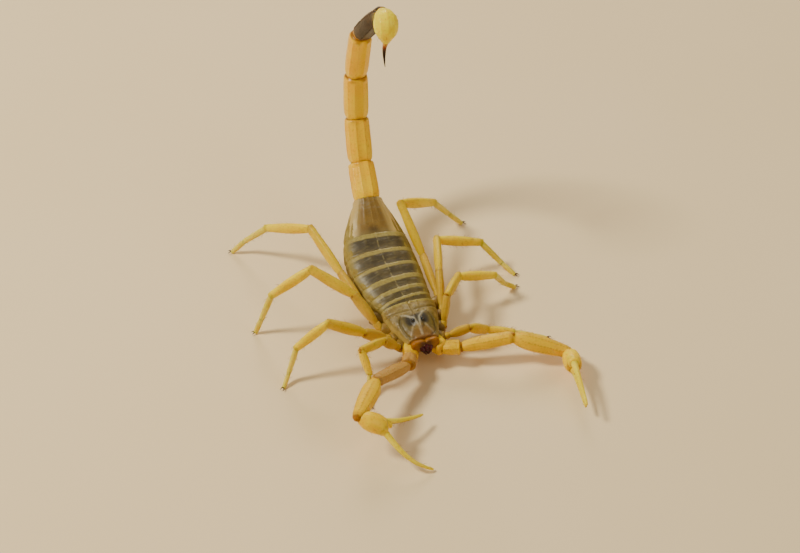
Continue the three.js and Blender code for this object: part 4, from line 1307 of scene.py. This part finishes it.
def make_leg(side, pair):
    points = leg_joints(side, pair)
    scale = LEG["scale"][pair]
    name = f"leg_{side}_{pair + 1}"
    waist = points[0].lerp(points[1], 0.2)
    root = leg_piece("ring", points[0], waist, LEG["root"], scale, "thigh", 0.02, (-0.15, 1.0))
    thigh = leg_piece("thigh", waist, points[1], LEG["femur"], scale, "thigh", 0.05, (-0.02, 1.04))
    finished(join(f"{name}_thigh", [root, thigh]), f"{name}_femur")
    knee = leg_piece(f"{name}_knee", points[1], points[2], LEG["patella"], scale, "knee")
    finished(knee, f"{name}_patella")
    parts = [
        leg_piece("shin", points[2], points[3], LEG["tibia"], scale, "shin", 0.03),
        leg_piece("instep", points[3], points[4], LEG["instep"], scale, "toe", 0.02),
        leg_piece("toe", points[4], points[5], LEG["toe"], scale, "toe", 0.02, (-0.02, 0.98)),
    ]
    way = points[5] - points[4]
    flat = Vector((way.x, way.y, 0)).normalized()
    length, thick, tip, spread = LEG["claw"]
    for angle in (spread, -spread):
        out = Matrix.Rotation(math.radians(angle), 3, "Z") @ flat
        wide, high = ([thick, thick * waist_share, thick * 0.6, tip] for waist_share in (0.85, 0.9))
        claw = tube("claw", length, wide, high, steps=6, **SPIKE)
        base = points[5] - flat * 0.12 * MM

        def path(t, out=out, base=base):
            lift = 0.3 * math.sin(math.pi * min(max(t * 0.8 + 0.1, 0), 1)) + 0.02
            return np.array(base + out * t * length * MM + UP * lift * MM)

        parts.append(painted(lay(claw, length, path, UP), "sting"))
    if pair > 1:
        down = (points[4] - points[3]).normalized() * 0.9 - UP * 0.5
        spur = tube("spur", 0.9, [0.11, 0.09, 0.04], [0.11, 0.09, 0.04], steps=4, **SPIKE)
        parts.append(painted(put(spur, place_of(points[3], points[3] + down)), "toe"))
    shin = join(f"{name}_shin", parts)
    places = points_of(shin)
    places[:, 2] = np.maximum(places[:, 2], 0)  # the sole and claws lie flat on the floor
    move_points(shin, places)
    finished(shin, f"{name}_foot")
    haired.extend([(knee, f"{name}_patella", 25), (shin, f"{name}_foot", 90)])
    return points


# ---- Bristles ----


def make_bristles(skin, slot, count):
    """Sparse stiff bristles: three-sided spikes that lean towards the far end of their piece."""
    mesh = skin.data
    places, normals, spot = points_of(skin), normals_of(skin), stored(skin, "spot")
    corners = np.empty(len(mesh.loops), dtype=int)
    mesh.loops.foreach_get("vertex_index", corners)
    shares = [polygon.area for polygon in mesh.polygons for _ in polygon.vertices]
    weights = np.bincount(corners, shares, len(places)) * (places[:, 2] > BRISTLE["clear"] * MM)
    # Drawn by place and not by number, because a mesh's points may be numbered otherwise in each run.
    cell = np.floor(places / (BRISTLE["cell"] * MM)).astype(int) % 32
    wait = -np.log(JITTER[cell[:, 0], cell[:, 1], cell[:, 2], 0]) / np.maximum(weights, 1e-20)
    picked = np.argsort(wait)[:count]
    root, out = places[picked], normals[picked]
    ahead = places[spot[:, 1] > spot[:, 1].max() - 0.003].mean(axis=0) - root
    ahead /= np.linalg.norm(ahead, axis=1)[:, None]
    way = out + BRISTLE["lean"] * ahead + 0.3 * (rng.random((count, 3)) - 0.5)
    way /= np.linalg.norm(way, axis=1)[:, None]
    side = np.cross(way, ahead + 0.3 * out)
    side /= np.linalg.norm(side, axis=1)[:, None]
    other = np.cross(way, side)
    length = BRISTLE["length"] * MM * (0.5 + rng.random(count))[:, None]
    rings = []
    for share, thick in ((-0.1, 1.0), (0.5, 0.75)):
        centre = root + way * length * share
        for turn in range(3):
            angle = 2 * math.pi * turn / 3
            reach = BRISTLE["thick"] * MM * thick
            rings.append(centre + (side * math.cos(angle) + other * math.sin(angle)) * reach)
    points = np.stack(rings + [root + way * length + ahead * length * 0.15], 1)
    faces = [(0, 2, 1), (0, 1, 4, 3), (1, 2, 5, 4), (2, 0, 3, 5), (3, 4, 6), (4, 5, 6), (5, 3, 6)]
    joined = bpy.data.meshes.new(f"bristles_{slot}")
    every_face = [tuple(7 * i + k for k in face) for i in range(count) for face in faces]
    joined.from_pydata(points.reshape(-1, 3).tolist(), [], every_face)
    angle = np.arctan2(spot[picked, 0], spot[picked, 2]) / (2 * math.pi) + 0.5
    place = 0.02 + 0.96 * np.clip(np.stack([angle, spot[picked, 1]], 1), 0, 1)
    patch = 0.0015 * np.array([(-1, -1), (1, -1), (0, -1), (-1, 1), (1, 1), (0, 1), (0, 0)])
    loose = np.repeat(place, 7, axis=0) + np.tile(patch, (count, 1))
    corners = np.empty(len(joined.loops), dtype=int)
    joined.loops.foreach_get("vertex_index", corners)
    joined.uv_layers.new(name="OFBake").data.foreach_set("uv", loose[corners].ravel())
    piece = bpy.data.objects.new(joined.name, joined)
    bpy.context.collection.objects.link(piece)
    finished(piece, slot, "bristle")


def make_joint_skin(legs, arms):
    """Soft skin in the bends between the hard pieces."""
    cushions = []

    def cushion(at, before, after, size):
        way = (after - before).normalized()
        thick = [size * 0.6, size, size, size * 0.6]
        ball = tube("cushion", 2 * size, thick, thick, steps=3, blunt=size * 0.4, levels=1, square=1)
        relief(ball, lambda s, p: 0.04 * np.sin(p[:, 1] * 22))
        cushions.append(put(ball, place_of(at - way * size * MM, at + way * size * MM)))

    for points, scale in legs:
        for k, size in ((0, 0.6), (1, 0.62), (2, 0.56), (3, 0.4), (4, 0.3)):
            before = points[max(k - 1, 0)] if k else points[0] - (points[1] - points[0])
            cushion(points[k], before, points[k + 1], size * scale)
    for points in arms:
        for k, size in ((0, 0.85), (1, 0.85), (2, 0.85), (3, 0.75)):
            before = points[k - 1] if k else points[0] - (points[1] - points[0])
            cushion(points[k], before, points[k + 1], size)
    joined = join("joint_skin", cushions)
    finished(joined, "prosoma_underside", "joint", ())


def make_tail_skin():
    cushions = []
    for k, at in enumerate(tail):
        before = trunk[-2] if k == 0 else tail[k - 1]
        after = tail[k + 1] if k < 5 else sting_root
        half = TAIL["half_width"][min(k, 4)] * (0.74 if k < 5 else 0.5)
        wide, high = ([half * v for v in shares] for shares in ((0.9, 1, 1, 0.9), (0.8, 0.9, 0.9, 0.8)))
        ring = tube("tail_cushion", 1.6, wide, high, around=20, blunt=0.2, levels=1)
        relief(ring, lambda s, p: 0.05 * np.sin(p[:, 1] * 14))
        reach = (after - before).normalized() * 0.8 * MM
        back = leaning(TAIL["lean"][min(k, 4)] - 90)
        cushions.append(put(ring, place_of(at - reach, at + reach, back)))
    finished(join("tail_joint_skin", cushions), "metasoma_1", "joint", ())


make_carapace()
make_eyes()
make_jaws()
make_underside()
make_trunk()
make_combs()
make_tail()
make_sting()
arms = [make_arm(side) for side in SIDES]
legs = [(make_leg(side, pair), LEG["scale"][pair]) for side in SIDES for pair in range(4)]
make_joint_skin(legs, arms)
make_tail_skin()
for skin, slot, count in haired:
    make_bristles(skin, slot, count)


# ---- Studio ----


def area_light(name, at, aim, size, energy, colour):
    light = bpy.data.lights.new(name, "AREA")
    light.shape, light.size, light.energy, light.color = "DISK", size, energy, colour
    lamp = bpy.data.objects.new(name, light)
    bpy.context.collection.objects.link(lamp)
    lamp.location = at
    lamp.rotation_euler = (Vector(aim) - Vector(at)).to_track_quat("-Z", "Y").to_euler()


def make_studio():
    bpy.ops.object.select_all(action="DESELECT")
    bpy.ops.mesh.primitive_plane_add(size=3, location=(0, 0, 0))
    floor = bpy.context.object
    floor.name = "studio_floor"
    paint = Paint("studio_floor", {})
    cloud = paint.noise(0.02, 2.0)
    paint.blend(cloud, "f2d8aa", "f6deb6")
    floor.data.materials.append(paint.done(0.8 + 0.05 * cloud, cloud, 0.02, 0.01))
    world = bpy.data.worlds.new("studio")
    world.use_nodes = True
    sky = world.node_tree.nodes["Background"]
    sky.inputs["Color"].default_value = rgb("faecd4")
    sky.inputs["Strength"].default_value = 0.32
    bpy.context.scene.world = world
    for name, light in LIGHTS.items():
        area_light(name, *light)


def make_camera():
    turn, lift = math.radians(CAMERA["turn"]), math.radians(CAMERA["lift"])
    aim = Vector((hind_edge.x, hind_edge.y, 0)) + Vector((*CAMERA["aim"], 0)) * MM
    way = Vector((math.sin(turn) * math.cos(lift), -math.cos(turn) * math.cos(lift), math.sin(lift)))
    lens = bpy.data.cameras.new("camera")
    lens.lens, lens.sensor_width = CAMERA["lens"], CAMERA["film"]
    camera = bpy.data.objects.new("camera", lens)
    bpy.context.collection.objects.link(camera)
    camera.location = aim + way * CAMERA["away"]
    camera.rotation_euler = (-way).to_track_quat("-Z", "Y").to_euler()
    bpy.context.scene.camera = camera


make_studio()
make_camera()
